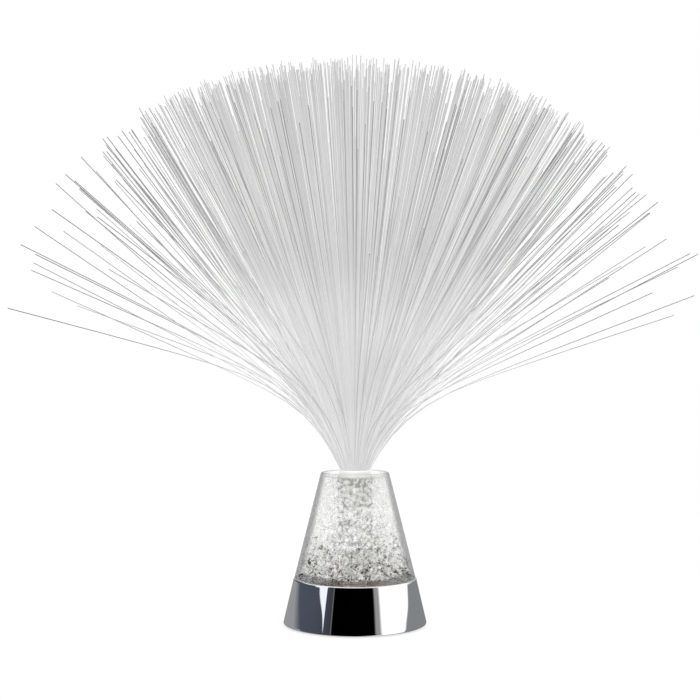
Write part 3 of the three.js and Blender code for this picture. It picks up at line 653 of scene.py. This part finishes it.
cell_low, cell_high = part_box("cell_1")
cell_half = (cell_high.x - cell_low.x) / 2
cell_radius = (cell_high.z - cell_low.z) / 2
nub_radius = 0.0019
nub_height = 0.0009
end_inset = 0.00015
jacket_edge = 0.0005
bare_rim = 0.0001
cap_share = 0.68
cap_rim_share = 0.70
nub_foot_share = 1.2
nub_top_share = 0.85
nub_flare_share = 0.7
cell_pattern = turned_piece(
    "cell_pattern",
    [
        (0, -cell_half),
        (cell_radius * cap_share, -cell_half),
        (cell_radius * cap_rim_share, -cell_half + end_inset),
        *arc((cell_radius - jacket_edge, jacket_edge - cell_half), jacket_edge, -90, 0, 4),
        *arc((cell_radius - jacket_edge, cell_half - nub_height - jacket_edge), jacket_edge, 0, 90, 4),
        (nub_radius * nub_foot_share, cell_half - nub_height),
        (nub_radius, cell_half - nub_height * nub_flare_share),
        (nub_radius, cell_half - end_inset),
        (nub_radius * nub_top_share, cell_half),
        (0, cell_half),
    ],
    64,
    closed=False,
)
cell_pattern.data.transform(Matrix.Rotation(math.radians(90), 4, "Y"))
cell_nodes = [f"cell_{i}" for i in range(1, 4)]
jacket = cell_jacket(cell_half - nub_height - bare_rim)
cells = set_copies("cells", cell_pattern, jacket, *cell_nodes, turn_step=math.pi)
fit_out(cells, jacket, "base", "cell_jacket", *cell_nodes)
nickel_tones = [(0.3, (0.58, 0.56, 0.52, 1)), (0.7, (0.72, 0.70, 0.66, 1))]
nickel = flecked("nickel_plate", 700.0, 3.0, nickel_tones, (0.18, 0.32), Metallic=1.0)
dress(nickel, "contact_plus", "contact_link_left", "contact_link_right", "contact_minus")


# Board, its red lead and the three LEDs. Brown phenolic paper board; the LEDs are cast in
# water-clear epoxy, and the lead from the plus contact has a red sleeve.
board_tones = [(0.3, (0.26, 0.11, 0.040, 1)), (0.7, (0.42, 0.20, 0.080, 1))]
board = flecked("phenolic_paper", 420.0, 5.0, board_tones, (0.55, 0.7), Specular_IOR_Level=0.15)
red_tones = [(0.3, (0.36, 0.012, 0.012, 1)), (0.7, (0.50, 0.028, 0.024, 1))]
red = flecked("red_sleeve", 600.0, 3.0, red_tones, (0.3, 0.45))
epoxy_tones = [(0.3, (0.86, 0.89, 0.89, 1)), (0.7, (0.94, 0.96, 0.96, 1))]
epoxy = flecked("clear_epoxy", 900.0, 3.0, epoxy_tones, (0.04, 0.12), Transmission_Weight=0.6, IOR=1.5)
dress(board, "led_board")
dress(red, "lead_plus")
dress(epoxy, "led_red", "led_green", "led_blue")


# Clear cone, its floor and the light tube. Polished clear styrene: the cone has a thick wall and a
# rounded shoulder, and the floor closes it below. The tube leads the light up to the bundle and is
# ground outside; its grey is painted shade.
cone_low, cone_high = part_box("clear_cone")
cone_wall = 0.0025
cone_edge = 0.0014
cone_foot_edge = 0.0002
cone_taper = 0.253
collar_depth = 0.005
collar_wall = 0.0012
clearance = 0.0003


def off_axis(tree, at):
    """How far a spot, given by its parts, lies from the lamp's axis."""
    squares = plus(tree, times(tree, at["X"], at["X"]), times(tree, at["Y"], at["Y"]))
    return calc(tree, "SQRT", squares)


def clear_styrene(name, tint, edge_shade_tint, skin=None, polish_share=0.5):
    """Clear plastic that lets the light inside, with painted shade where its skin is seen edge on.
    The skin is the whole surface, or what lies outside a tapered line, and the face at a level."""
    material, tree, spot = new_material(name)
    facing = add_node(tree, "ShaderNodeLayerWeight", {"Blend": 0.5}).outputs["Facing"]
    scuffs = grain(tree, spot, 240.0, 5.0)
    rays = add_node(tree, "ShaderNodeLightPath").outputs
    # Painted shade: the skin is greyer where it is seen edge on.
    colour = ramp(tree, facing, [(0.46, tint), (0.64, edge_shade_tint), (1.0, edge_shade_tint)])
    outside = 1.0
    if skin:
        foot, radius, face_level = skin
        at = axes(tree, spot)
        out = off_axis(tree, at)
        risen = calc(tree, "MAXIMUM", less(tree, at["Z"], foot), 0.0)
        outside = calc(tree, "GREATER_THAN", calc(tree, "MULTIPLY_ADD", risen, cone_taper, out), radius)
        below = calc(tree, "COMPARE", at["Z"], face_level, 0.0003)
        outside = calc(tree, "MAXIMUM", outside, below)
        colour = blend(tree, outside, (tint, tint, tint, 1), colour)
    straight = {"Color": colour, "Roughness": 0.0, "IOR": 1.0005}
    through = add_node(tree, "ShaderNodeBsdfRefraction", straight).outputs[0]
    polish = {"Color": (0.95, 0.95, 0.95, 1), "Roughness": spread(tree, scuffs, 0.02, 0.08)}
    gloss = add_node(tree, "ShaderNodeBsdfAnisotropic", polish).outputs[0]
    share = add_node(tree, "ShaderNodeFresnel", {"IOR": 1.3}).outputs[0]
    share = times(tree, share, times(tree, outside, polish_share))
    glass = layered(tree, share, through, gloss)
    open_way = add_node(tree, "ShaderNodeBsdfTransparent", {"Color": (0.96, 0.96, 0.96, 1)}).outputs[0]
    inside = calc(tree, "MAXIMUM", rays["Is Shadow Ray"], rays["Is Diffuse Ray"])
    mixed = layered(tree, inside, glass, open_way)
    add_node(tree, "ShaderNodeOutputMaterial", {"Surface": mixed})
    return material


spigot_radius = lip_radius - clearance
cone_foot = skirt_high.z + clearance
cone_foot_radius = cone_high.x
floor_low, floor_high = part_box("cone_floor")
tube_low, tube_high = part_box("light_tube")
ferrule_low, ferrule_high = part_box("ferrule")
tube_radius = tube_high.x
socket_radius = ferrule_high.x + clearance
under_top = cone_high.z - cone_wall


def cone_radius(level):
    """The cone's outer radius at a level."""
    return cone_foot_radius - (level - cone_foot) * cone_taper


def cone_inner_radius(level):
    """The cone's inner radius at a level; below the cone's foot the bore runs straight down."""
    return cone_radius(max(level, cone_foot)) - cone_wall


collar_inner = tube_radius + clearance
cone_shell = turned_piece(
    "cone_shell",
    [
        (spigot_radius, cone_low.z),
        (spigot_radius, cone_foot),
        *eased_wall(
            (cone_foot_radius, cone_foot, cone_high.z), cone_taper, cone_foot_edge, cone_edge, 8
        ),
        (socket_radius, cone_high.z),
        (socket_radius, under_top),
        (collar_inner, under_top),
        (collar_inner, under_top - collar_depth),
        (collar_inner + collar_wall, under_top - collar_depth),
        (collar_inner + collar_wall, under_top),
        (cone_inner_radius(under_top), under_top),
        (cone_inner_radius(cone_foot), cone_foot),
        (cone_inner_radius(cone_low.z), cone_low.z),
    ],
)
cone_skin = (cone_foot, cone_foot_radius - cone_wall / 2, under_top)
cone_styrene = clear_styrene("clear_cone_styrene", 0.985, 0.68, cone_skin)
fit_out(cone_shell, cone_styrene, "base", "clear_plastic", "clear_cone")

spacer_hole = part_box("led_spacer")[1].x + clearance
floor_disc = turned_piece(
    "floor_disc",
    [
        (spacer_hole, floor_low.z),
        (floor_high.x, floor_low.z),
        (floor_high.x, floor_high.z),
        (spacer_hole, floor_high.z),
    ],
)
floor_styrene = clear_styrene("floor_styrene", 0.98, 0.92, polish_share=0.70)
fit_out(floor_disc, floor_styrene, "base", "clear_plastic", "cone_floor")

tube_ledge = 0.001
tube_seat = ferrule_low.z - clearance
# Painted shade: the tube's grey stands for the shade deep inside the heap.
tube_shade_tones = [(0.34, (0.36, 0.36, 0.34, 1)), (0.52, (0.43, 0.43, 0.41, 1)), (0.68, (0.50, 0.50, 0.48, 1))]
ground_styrene = flecked("ground_styrene", 800.0, 6.0, tube_shade_tones, (0.3, 0.5), relief=0.0001)
tube = turned_piece(
    "tube",
    [
        (socket_radius - tube_ledge, tube_low.z),
        (tube_radius, tube_low.z),
        (tube_radius, tube_high.z),
        (socket_radius, tube_high.z),
        (socket_radius, tube_seat),
        (socket_radius - tube_ledge, tube_seat),
    ],
    96,
)
fit_out(tube, ground_styrene, "base", "clear_plastic", "light_tube")


# Crushed crystal. Some five thousand broken clear acrylic chips, poured into the cone round the
# tube. Each is a flat-faced splinter; they stay clear of the foot of the wall, where the floor shows.
bpy.context.scene.cycles.transparent_max_bounces = 24
loose_rise = 0.006
crystal_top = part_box("crystal_fill")[1].z + loose_rise
chip_count = 5200
chip_size = 0.00115
dark_height = 0.034
uneven_height = 0.014
calm_height = 0.044
clear_height = 0.045
shade_width = 0.010
clear_width = 0.014
chip_reach_share = 1.6


def broken_acrylic():
    """Chips of clear acrylic, their facets painted with glints and shade: pale and even high up,
    with painted shade by the tube and in dark or olive clusters low in the heap. Those high up and
    near the wall are the clearest."""
    material, tree, spot = new_material("broken_acrylic")
    # Painted glints and shade: each facet has its own random tone.
    facet = add_node(tree, "ShaderNodeAttribute", attribute_name="facet_tone").outputs["Fac"]
    glint_and_shade_noise = spread(tree, grain(tree, spot, 450.0, 2.0), -0.15, 0.15, 0.36, 0.64)
    facet = plus(tree, facet, glint_and_shade_noise)
    at = axes(tree, spot)
    out = off_axis(tree, at)
    # Painted shade: darker low in the heap, in clusters, and by the tube.
    painted_shade_share = spread(tree, at["Z"], 0.34, 0.0, heap_floor, heap_floor + dark_height)
    shade_by_tube = spread(tree, out, 0.13, 0.0, tube_radius, tube_radius + shade_width)
    cluster = grain(tree, spot, 120.0, 1.0)
    painted_shade_share = times(tree, painted_shade_share, spread(tree, cluster, 0.65, 1.3, 0.38, 0.62))
    painted_shade_share = plus(tree, painted_shade_share, shade_by_tube)
    calm = spread(tree, at["Z"], 0.0, 1.0, heap_floor + uneven_height, heap_floor + calm_height)
    gain = calc(tree, "MULTIPLY_ADD", calm, -1.15, 1.75)
    level = calc(tree, "MULTIPLY_ADD", calm, 0.03, 0.51)
    facet = calc(tree, "MULTIPLY_ADD", less(tree, facet, painted_shade_share), gain, level)
    stops = [
        (0.0, (0.020, 0.020, 0.012, 1)),
        (0.15, (0.12, 0.115, 0.08, 1)),
        (0.4, (0.42, 0.42, 0.37, 1)),
        (0.65, (0.74, 0.74, 0.71, 1)),
        (1.0, 0.95),
    ]
    colour = ramp(tree, facet, stops)
    front = add_node(tree, "ShaderNodeBsdfDiffuse", {"Color": colour}).outputs[0]
    back = add_node(tree, "ShaderNodeBsdfTranslucent", {"Color": colour}).outputs[0]
    shine = add_node(tree, "ShaderNodeBsdfAnisotropic", {"Color": colour, "Roughness": 0.12}).outputs[0]
    stone = layered(tree, 0.5, front, back)
    stone = layered(tree, 0.12, stone, shine)
    open_way = add_node(tree, "ShaderNodeBsdfTransparent", {"Color": (0.99, 0.99, 0.99, 1)}).outputs[0]
    share = ramp(tree, facet, [(0.0, 0.14), (0.3, 0.45), (0.6, 0.74), (1.0, 0.68)])
    share = times(tree, share, spread(tree, out, 0.85, 1.15, tube_radius, tube_radius + clear_width))
    share = times(tree, share, spread(tree, at["Z"], 0.72, 1.12, heap_floor, heap_floor + clear_height))
    mixed = layered(tree, share, stone, open_way)
    add_node(tree, "ShaderNodeOutputMaterial", {"Surface": mixed})
    return material


def pick(tree, low, high, number, seed):
    """A random number for each chip or strand, by its number."""
    return add_node(
        tree,
        "FunctionNodeRandomValue",
        {"Min": low, "Max": high, "ID": number, "Seed": seed},
        data_type="FLOAT",
    ).outputs[1]


def store(tree, geometry, name, value, domain="POINT"):
    """Keeps a value on the geometry under a name, for a later step or for the material."""
    return add_node(
        tree,
        "GeometryNodeStoreNamedAttribute",
        {"Geometry": geometry, "Name": name, "Value": value},
        data_type="FLOAT",
        domain=domain,
    ).outputs[0]


def splinters(tree, size):
    """The two forms of chip as instances: a skew block and a five-sided wedge."""
    sides = point(tree, times(tree, size, 1.7), times(tree, size, 1.5), size)
    block = add_node(tree, "GeometryNodeMeshCube", {"Size": sides}).outputs[0]
    wedge = add_node(
        tree,
        "GeometryNodeMeshCone",
        {
            "Vertices": 5,
            "Radius Top": times(tree, size, 0.25),
            "Radius Bottom": size,
            "Depth": times(tree, size, 1.8),
        },
    ).outputs[0]
    forms = tree.nodes.new("GeometryNodeJoinGeometry")
    for form in (block, wedge):
        copy = add_node(tree, "GeometryNodeGeometryToInstance", {"Geometry": form}).outputs[0]
        tree.links.new(copy, forms.inputs[0])
    return forms.outputs[0]


def crystal_tree(material):
    """Chips at random places between the tube and the cone's wall."""
    tree = geometry_tree("crushed crystal")
    given = group_inputs(
        tree, Chips=2200, Chip_Size=0.0012, Floor_Level=0.02, Top_Level=0.08, Tube_Radius=0.01,
        Wall_At_Floor=0.03, Wall_At_Top=0.018, Foot_Gap=0.0036, Foot_Gap_Width=0.010, Seed=7,
    )
    points = add_node(tree, "GeometryNodePoints", {"Count": given["Chips"]}).outputs[0]
    number = add_node(tree, "GeometryNodeInputIndex").outputs[0]
    seeds = [plus(tree, given["Seed"], float(i)) for i in range(8)]
    rise = calc(tree, "POWER", pick(tree, 0.0, 1.0, number, seeds[0]), 1.6)
    level_span = less(tree, given["Top_Level"], given["Floor_Level"])
    level = calc(tree, "MULTIPLY_ADD", rise, level_span, given["Floor_Level"])
    wall_span = less(tree, given["Wall_At_Top"], given["Wall_At_Floor"])
    wall = calc(tree, "MULTIPLY_ADD", rise, wall_span, given["Wall_At_Floor"])
    depth = calc(tree, "POWER", pick(tree, 0.0, 1.0, number, seeds[1]), 0.7)
    ring = less(tree, wall, given["Tube_Radius"])
    radius = calc(tree, "MULTIPLY_ADD", ring, depth, given["Tube_Radius"])
    angle = pick(tree, 0.0, 2 * math.pi, number, seeds[2])
    inside = less(tree, wall, radius)
    near_wall = less(tree, 1.0, calc(tree, "DIVIDE", inside, given["Foot_Gap_Width"]))
    uneven = calc(tree, "MULTIPLY_ADD", calc(tree, "SINE", times(tree, angle, 9.0)), 0.25, 0.85)
    lowest = times(tree, times(tree, near_wall, uneven), given["Foot_Gap"])
    lowest = plus(tree, calc(tree, "MAXIMUM", lowest, 0.0), given["Floor_Level"])
    place = point(
        tree,
        times(tree, calc(tree, "COSINE", angle), radius),
        times(tree, calc(tree, "SINE", angle), radius),
        calc(tree, "MAXIMUM", level, lowest),
    )
    points = add_node(
        tree, "GeometryNodeSetPosition", {"Geometry": points, "Position": place}
    ).outputs[0]
    scales = [
        pick(tree, low, high, number, seed)
        for low, high, seed in ((0.6, 1.4, seeds[4]), (0.5, 1.2, seeds[5]), (0.4, 1.0, seeds[6]))
    ]
    scale = point(tree, *scales)
    spin = add_node(
        tree,
        "FunctionNodeRandomValue",
        {"Min": (0, 0, 0), "Max": (6.28, 6.28, 6.28), "ID": number, "Seed": seeds[7]},
        data_type="FLOAT_VECTOR",
    ).outputs[0]
    form = calc(tree, "FLOOR", pick(tree, 0.0, 1.99, number, seeds[3]))
    chips = add_node(
        tree,
        "GeometryNodeInstanceOnPoints",
        {
            "Points": points,
            "Instance": splinters(tree, given["Chip_Size"]),
            "Pick Instance": True,
            "Instance Index": form,
            "Rotation": spin,
            "Scale": scale,
        },
    ).outputs[0]
    chips = add_node(tree, "GeometryNodeRealizeInstances", {"Geometry": chips}).outputs[0]
    # Each facet keeps a random level of painted glint and shade for the material.
    chips = store(tree, chips, "facet_tone", pick(tree, 0.0, 1.0, number, seeds[3]), "FACE")
    close_tree(tree, chips, material)
    return tree


def let_light_through(piece):
    """Clear plastic neither shades its surroundings nor hides them from scattered light."""
    piece.visible_shadow = False
    piece.visible_diffuse = False


chip_reach = chip_size * chip_reach_share
heap_floor = floor_high.z + clearance + chip_size
crystal = broken_acrylic()
chips = grow(
    "crystal_chips",
    crystal_tree(crystal),
    Chips=chip_count,
    Chip_Size=chip_size,
    Floor_Level=heap_floor,
    Top_Level=crystal_top,
    Tube_Radius=tube_radius + chip_size,
    Wall_At_Floor=cone_inner_radius(heap_floor) - chip_reach,
    Wall_At_Top=cone_inner_radius(crystal_top) - chip_reach,
)
chips.data.polygons.foreach_set("use_smooth", [False] * len(chips.data.polygons))
let_light_through(chips)
fit_out(chips, crystal, "base", "crystal", "crystal_fill")


# Ferrule and the bundle's glued end. The fibres are cemented into one plug, which is milky white,
# ground round and held in a thin white sleeve that drops into the cone's socket. Plug and sleeve
# carry painted light and a faint painted glow.
sleeve_wall = 0.0005
fade_below = 0.001
fade_above = 0.003
bundle_radius = ferrule_high.x - sleeve_wall
sleeve = turned_piece(
    "sleeve",
    [
        (bundle_radius, ferrule_low.z),
        (ferrule_high.x - sleeve_wall / 2, ferrule_low.z),
        (ferrule_high.x, ferrule_low.z + sleeve_wall),
        (ferrule_high.x, ferrule_high.z),
        (bundle_radius, ferrule_high.z),
    ],
    96,
)
white_plastic = flecked("white_moulding", 300.0, 3.0, [(0.3, 0.88), (0.7, 0.94)], (0.25, 0.4))
dress(white_plastic, "led_spacer", "resistor_1", "resistor_2", "lead_switch")


def milky_cement():
    """The white cement of the bundle's end, with painted light: brightest and faintly glowing in its
    sleeve, greyer above it.
    """
    material, tree, spot = new_material("milky_cement")
    flow = grain(tree, spot, 260.0, 3.0)
    height = axes(tree, spot)["Z"]
    # Painted light: brighter in the sleeve and greyer above it, with a faint painted glow in the sleeve.
    held = spread(tree, height, 1.0, 0.0, ferrule_high.z - fade_below, ferrule_high.z + fade_above)
    tone = calc(tree, "MULTIPLY_ADD", held, 0.20, spread(tree, flow, 0.62, 0.70))
    surface(
        tree,
        Base_Color=ramp(tree, tone, [(0.0, 0.0), (1.0, 1.0)]),
        Roughness=spread(tree, flow, 0.35, 0.5),
        Emission_Color=(1, 1, 1, 1),
        Emission_Strength=times(tree, held, 0.05),
    )
    return material


def clear_fibre(name, bright, light, dark):
    """Clear acrylic with painted light and shade: pale where strands crowd or run towards the eye, darker
    where one is alone.
    """
    material, tree, spot = new_material(name)
    tone = add_node(tree, "ShaderNodeAttribute", attribute_name="strand_tone").outputs["Fac"]
    streak = grain(tree, spot, 40.0, 2.0)
    tone = plus(tree, tone, spread(tree, streak, -0.05, 0.05))
    facing = add_node(tree, "ShaderNodeLayerWeight", {"Blend": 0.5}).outputs["Facing"]
    # Painted light: strands seen running towards the eye are paler.
    tone = calc(tree, "MAXIMUM", tone, spread(tree, facing, 0.0, 0.85, 0.12, 0.42))
    surface(
        tree,
        Base_Color=ramp(tree, times(tree, tone, 0.85), [(0.0, dark), (0.85, light), (1.0, bright)]),
        Roughness=0.3,
        IOR=1.49,
    )
    return material


cement = milky_cement()
fit_out(sleeve, cement, "spray", "white_plastic", "ferrule")
stub_rise = 0.0012
stub_top = ferrule_high.z + stub_rise
stub_radius = bundle_radius - clearance / 2
stub_edge = 0.0008
stub = turned_piece(
    "bundle_plug",
    [
        (0, ferrule_low.z),
        (stub_radius, ferrule_low.z),
        (stub_radius, ferrule_high.z + clearance),
        (ferrule_high.x, ferrule_high.z + clearance),
        *arc((ferrule_high.x - stub_edge, stub_top - stub_edge), stub_edge, 0, 90, 4),
        (0, stub_top),
    ],
    96,
    closed=False,
)
fit_out(stub, cement, "spray", "fibre")
let_light_through(stub)


# The spray. Some fifteen hundred clear fibres half a millimetre thick spring from the plug. They
# stand upright on the axis, lean more the nearer the plug's edge they are rooted, and bow outwards.
broken_least = 0.15
broken_most = 0.7
side_sharpness = 4.0
step_crowding = 1.5


def strand_roots(tree, given, number):
    """The roots of one quarter's strands, in a sunflower pattern on the plug. Each keeps what its
    strand follows: its heading, its two leans, its length and how far up it bends."""
    seeds = [plus(tree, given["Seed"], float(i)) for i in range(8)]

    def chance(low, high, draw):
        return pick(tree, low, high, number, seeds[draw])

    # Where a strand is rooted, from the axis out, and the way it heads.
    golden = math.pi * (3 - math.sqrt(5))
    place = calc(tree, "SQRT", calc(tree, "DIVIDE", plus(tree, number, 0.5), given["Strands"]))
    bearing = calc(tree, "FLOORED_MODULO", times(tree, number, golden), 2 * math.pi)
    heading = plus(tree, bearing, times(tree, chance(-1.0, 1.0, 0), given["Heading_Scatter"]))
    aside = calc(tree, "COSINE", heading)
    edge = calc(tree, "POWER", place, given["Edge_Sharpness"])

    # How far it leans. The strands at the very edge droop as well.
    core_skew = calc(tree, "MULTIPLY_ADD", given["Core_Skew"], aside, 1.0)
    edge_skew = calc(tree, "MULTIPLY_ADD", given["Edge_Skew"], aside, 1.0)
    core_place = calc(tree, "POWER", place, given["Core_Crowding"])
    core_lean = times(tree, times(tree, given["Core_Lean"], core_place), core_skew)
    edge_lean = times(tree, times(tree, given["Edge_Lean"], edge), edge_skew)
    stray = times(tree, chance(-1.0, 1.0, 1), given["Lean_Scatter"])
    core_lean = plus(tree, core_lean, times(tree, stray, place))

    # How long it is. Those at the edge and on the right are shorter, and a few are broken off.
    short = times(tree, chance(0.0, 1.0, 2), given["Length_Scatter"])
    short = calc(tree, "MULTIPLY_ADD", edge, given["Edge_Shorter"], short)
    side = times(tree, calc(tree, "MAXIMUM", aside, 0.0), calc(tree, "POWER", place, side_sharpness))
    side = times(tree, side, chance(0.0, 1.0, 7))
    short = calc(tree, "MULTIPLY_ADD", side, given["Side_Shorter"], short)
    broken = calc(tree, "LESS_THAN", chance(0.0, 1.0, 3), given["Broken_Share"])
    broken = times(tree, broken, chance(broken_least, broken_most, 4))
    whole = less(tree, 1.0, calc(tree, "MAXIMUM", short, broken))
    bend = times(tree, chance(-1.0, 1.0, 5), given["Bend_Scatter"])

    out = times(tree, place, given["Bundle_Radius"])
    root = point(
        tree,
        times(tree, calc(tree, "COSINE", bearing), out),
        times(tree, calc(tree, "SINE", bearing), out),
        given["Root_Level"],
    )
    roots = add_node(tree, "GeometryNodePoints", {"Count": given["Strands"], "Position": root}).outputs[0]
    stored = {
        "strand_heading": heading,
        "strand_core": core_lean,
        "strand_edge": edge_lean,
        "strand_length": times(tree, given["Strand_Length"], whole),
        "strand_bend": times(tree, given["Bend_Length"], plus(tree, 1.0, bend)),
        "strand_place": place,
        "strand_pick": chance(0.0, 1.0, 6),
    }
    for name, value in stored.items():
        roots = store(tree, roots, name, value)
    quarter = calc(tree, "FLOOR", calc(tree, "DIVIDE", bearing, math.pi / 2))
    others = add_node(
        tree,
        "FunctionNodeCompare",
        {"A": quarter, "B": given["Quarter"]},
        data_type="FLOAT",
        operation="NOT_EQUAL",
    ).outputs[0]
    return add_node(
        tree, "GeometryNodeDeleteGeometry", {"Geometry": roots, "Selection": others}, domain="POINT"
    ).outputs[0]


def upright_threads(tree, given, roots):
    """A straight upright thread on each root, with as many points as a strand has steps."""
    thread = add_node(tree, "GeometryNodeCurvePrimitiveLine", {"Start": (0, 0, 0), "End": (0, 0, 1)})
    thread = add_node(
        tree, "GeometryNodeResampleCurve", {"Curve": thread.outputs[0], "Count": given["Steps"]}
    ).outputs[0]
    threads = add_node(
        tree, "GeometryNodeInstanceOnPoints", {"Points": roots, "Instance": thread}
    ).outputs[0]
    return add_node(tree, "GeometryNodeRealizeInstances", {"Geometry": threads}).outputs[0]


def kept(tree, name):
    """What a strand's root has kept under a name, read at each point of the strand."""
    return add_node(
        tree, "GeometryNodeInputNamedAttribute", {"Name": name}, data_type="FLOAT"
    ).outputs[0]


def share_along(tree, given, step):
    """How far along its strand a step lies: evenly from root to tip, and as the steps are laid,
    closer together near the root."""
    even = calc(tree, "DIVIDE", step, less(tree, given["Steps"], 1.0))
    return even, calc(tree, "POWER", even, step_crowding)


def bent_strands(tree, given, number, threads):
    """The threads bent into strands. Each step goes on from the last one at the tilt that the
    strand has there: most of the core's lean at once, the rest and the edge's droop higher up."""
    step = calc(tree, "FLOORED_MODULO", number, given["Steps"])
    strand = calc(tree, "FLOOR", calc(tree, "DIVIDE", plus(tree, number, 0.5), given["Steps"]))
    even, near = share_along(tree, given, step)
    far = share_along(tree, given, plus(tree, step, 1.0))[1]
    run = times(tree, less(tree, far, near), kept(tree, "strand_length"))
    middle = times(tree, plus(tree, far, near), 0.5)
    middle = times(tree, middle, kept(tree, "strand_length"))
    bent = calc(tree, "DIVIDE", middle, kept(tree, "strand_bend"))
    held = less(tree, 1.0, given["Core_Neck_Share"])
    held = times(tree, held, calc(tree, "EXPONENT", times(tree, bent, -1.0)))
    tilt = times(tree, kept(tree, "strand_core"), less(tree, 1.0, held))
    late = calc(tree, "POWER", calc(tree, "DIVIDE", bent, given["Edge_Delay"]), 2.0)
    drooped = less(tree, 1.0, calc(tree, "EXPONENT", times(tree, late, -1.0)))
    tilt = calc(tree, "MULTIPLY_ADD", kept(tree, "strand_edge"), drooped, tilt)
    outward = times(tree, calc(tree, "SINE", tilt), run)
    move = point(
        tree,
        times(tree, outward, calc(tree, "COSINE", kept(tree, "strand_heading"))),
        times(tree, outward, calc(tree, "SINE", kept(tree, "strand_heading"))),
        times(tree, calc(tree, "COSINE", tilt), run),
    )
    grown = add_node(
        tree,
        "GeometryNodeAccumulateField",
        {"Value": move, "Group ID": strand},
        data_type="FLOAT_VECTOR",
        domain="POINT",
    ).outputs["Trailing"]
    laid = point(tree, 0.0, 0.0, times(tree, even, -1.0))
    offset = add_node(tree, "ShaderNodeVectorMath", {0: grown, 1: laid}, operation="ADD").outputs[0]
    return add_node(
        tree, "GeometryNodeSetPosition", {"Geometry": threads, "Offset": offset}
    ).outputs[0]


def strand_tone(tree, given, number):
    """The strands' painted light and shade, from 0, dark, to 1: painted light near the plug and where
    they crowd, painted shade where one is alone and at its tip, and a little uneven from strand to strand."""
    step = calc(tree, "FLOORED_MODULO", number, given["Steps"])
    near = share_along(tree, given, step)[1]
    # Painted shade on lone strands and tips, painted light near the plug.
    alone = spread(tree, kept(tree, "strand_place"), 0.85, 0.0, 0.86, 0.97)
    rooted = spread(tree, near, 1.02, 0.3, 0.45, 0.74)
    rooted = less(tree, rooted, spread(tree, kept(tree, "strand_place"), 0.0, 0.25, 0.965, 0.995))
    rooted = plus(tree, rooted, spread(tree, near, 0.19, 0.0, 0.03, 0.2))
    tip = spread(tree, near, 0.0, 0.13, 0.8, 1.0)
    tone = less(tree, calc(tree, "MAXIMUM", alone, rooted), tip)
    uneven = spread(tree, kept(tree, "strand_pick"), -0.11, 0.07, 0.0, 1.0)
    uneven = times(tree, uneven, spread(tree, near, 0.25, 1.0, 0.08, 0.42))
    return plus(tree, tone, uneven)


def spray_tree(material):
    """One quarter of the spray: strands rooted in the plug, bent, given their painted light and shade and
    their thickness.
    """
    tree = geometry_tree("spray of fibres")
    given = group_inputs(
        tree, Strands=1500, Quarter=0, Steps=14, Bundle_Radius=0.008, Root_Level=0.088,
        Strand_Radius=0.00025, Strand_Length=0.2366, Length_Scatter=0.03, Core_Lean=0.612,
        Core_Skew=0.071, Core_Crowding=0.85, Edge_Lean=0.668, Edge_Skew=-0.065,
        Edge_Sharpness=36.0, Edge_Shorter=0.035, Side_Shorter=0.04,
        Core_Neck_Share=0.75, Edge_Delay=1.3, Bend_Length=0.040, Bend_Scatter=0.3, Lean_Scatter=0.06,
        Heading_Scatter=0.12, Broken_Share=0.015, Seed=3,
    )
    number = add_node(tree, "GeometryNodeInputIndex").outputs[0]
    threads = upright_threads(tree, given, strand_roots(tree, given, number))
    strands = bent_strands(tree, given, number, threads)
    strands = store(tree, strands, "strand_tone", strand_tone(tree, given, number))
    section = add_node(
        tree, "GeometryNodeCurvePrimitiveCircle", {"Resolution": 5, "Radius": given["Strand_Radius"]}
    ).outputs[0]
    skins = add_node(
        tree,
        "GeometryNodeCurveToMesh",
        {"Curve": strands, "Profile Curve": section, "Fill Caps": True},
    ).outputs[0]
    close_tree(tree, skins, material)
    return tree


root_depth = 0.0002
fibre = clear_fibre("fibre_acrylic", 0.90, 0.80, 0.06)
spray = spray_tree(fibre)
for quarter in range(4):
    piece = grow(
        f"spray_quarter_{quarter + 1}",
        spray,
        Quarter=quarter,
        Bundle_Radius=stub_radius - clearance,
        Root_Level=stub_top - root_depth,
    )
    let_light_through(piece)
    fit_out(piece, fibre, "spray", "fibre", f"fibres_{quarter + 1}")
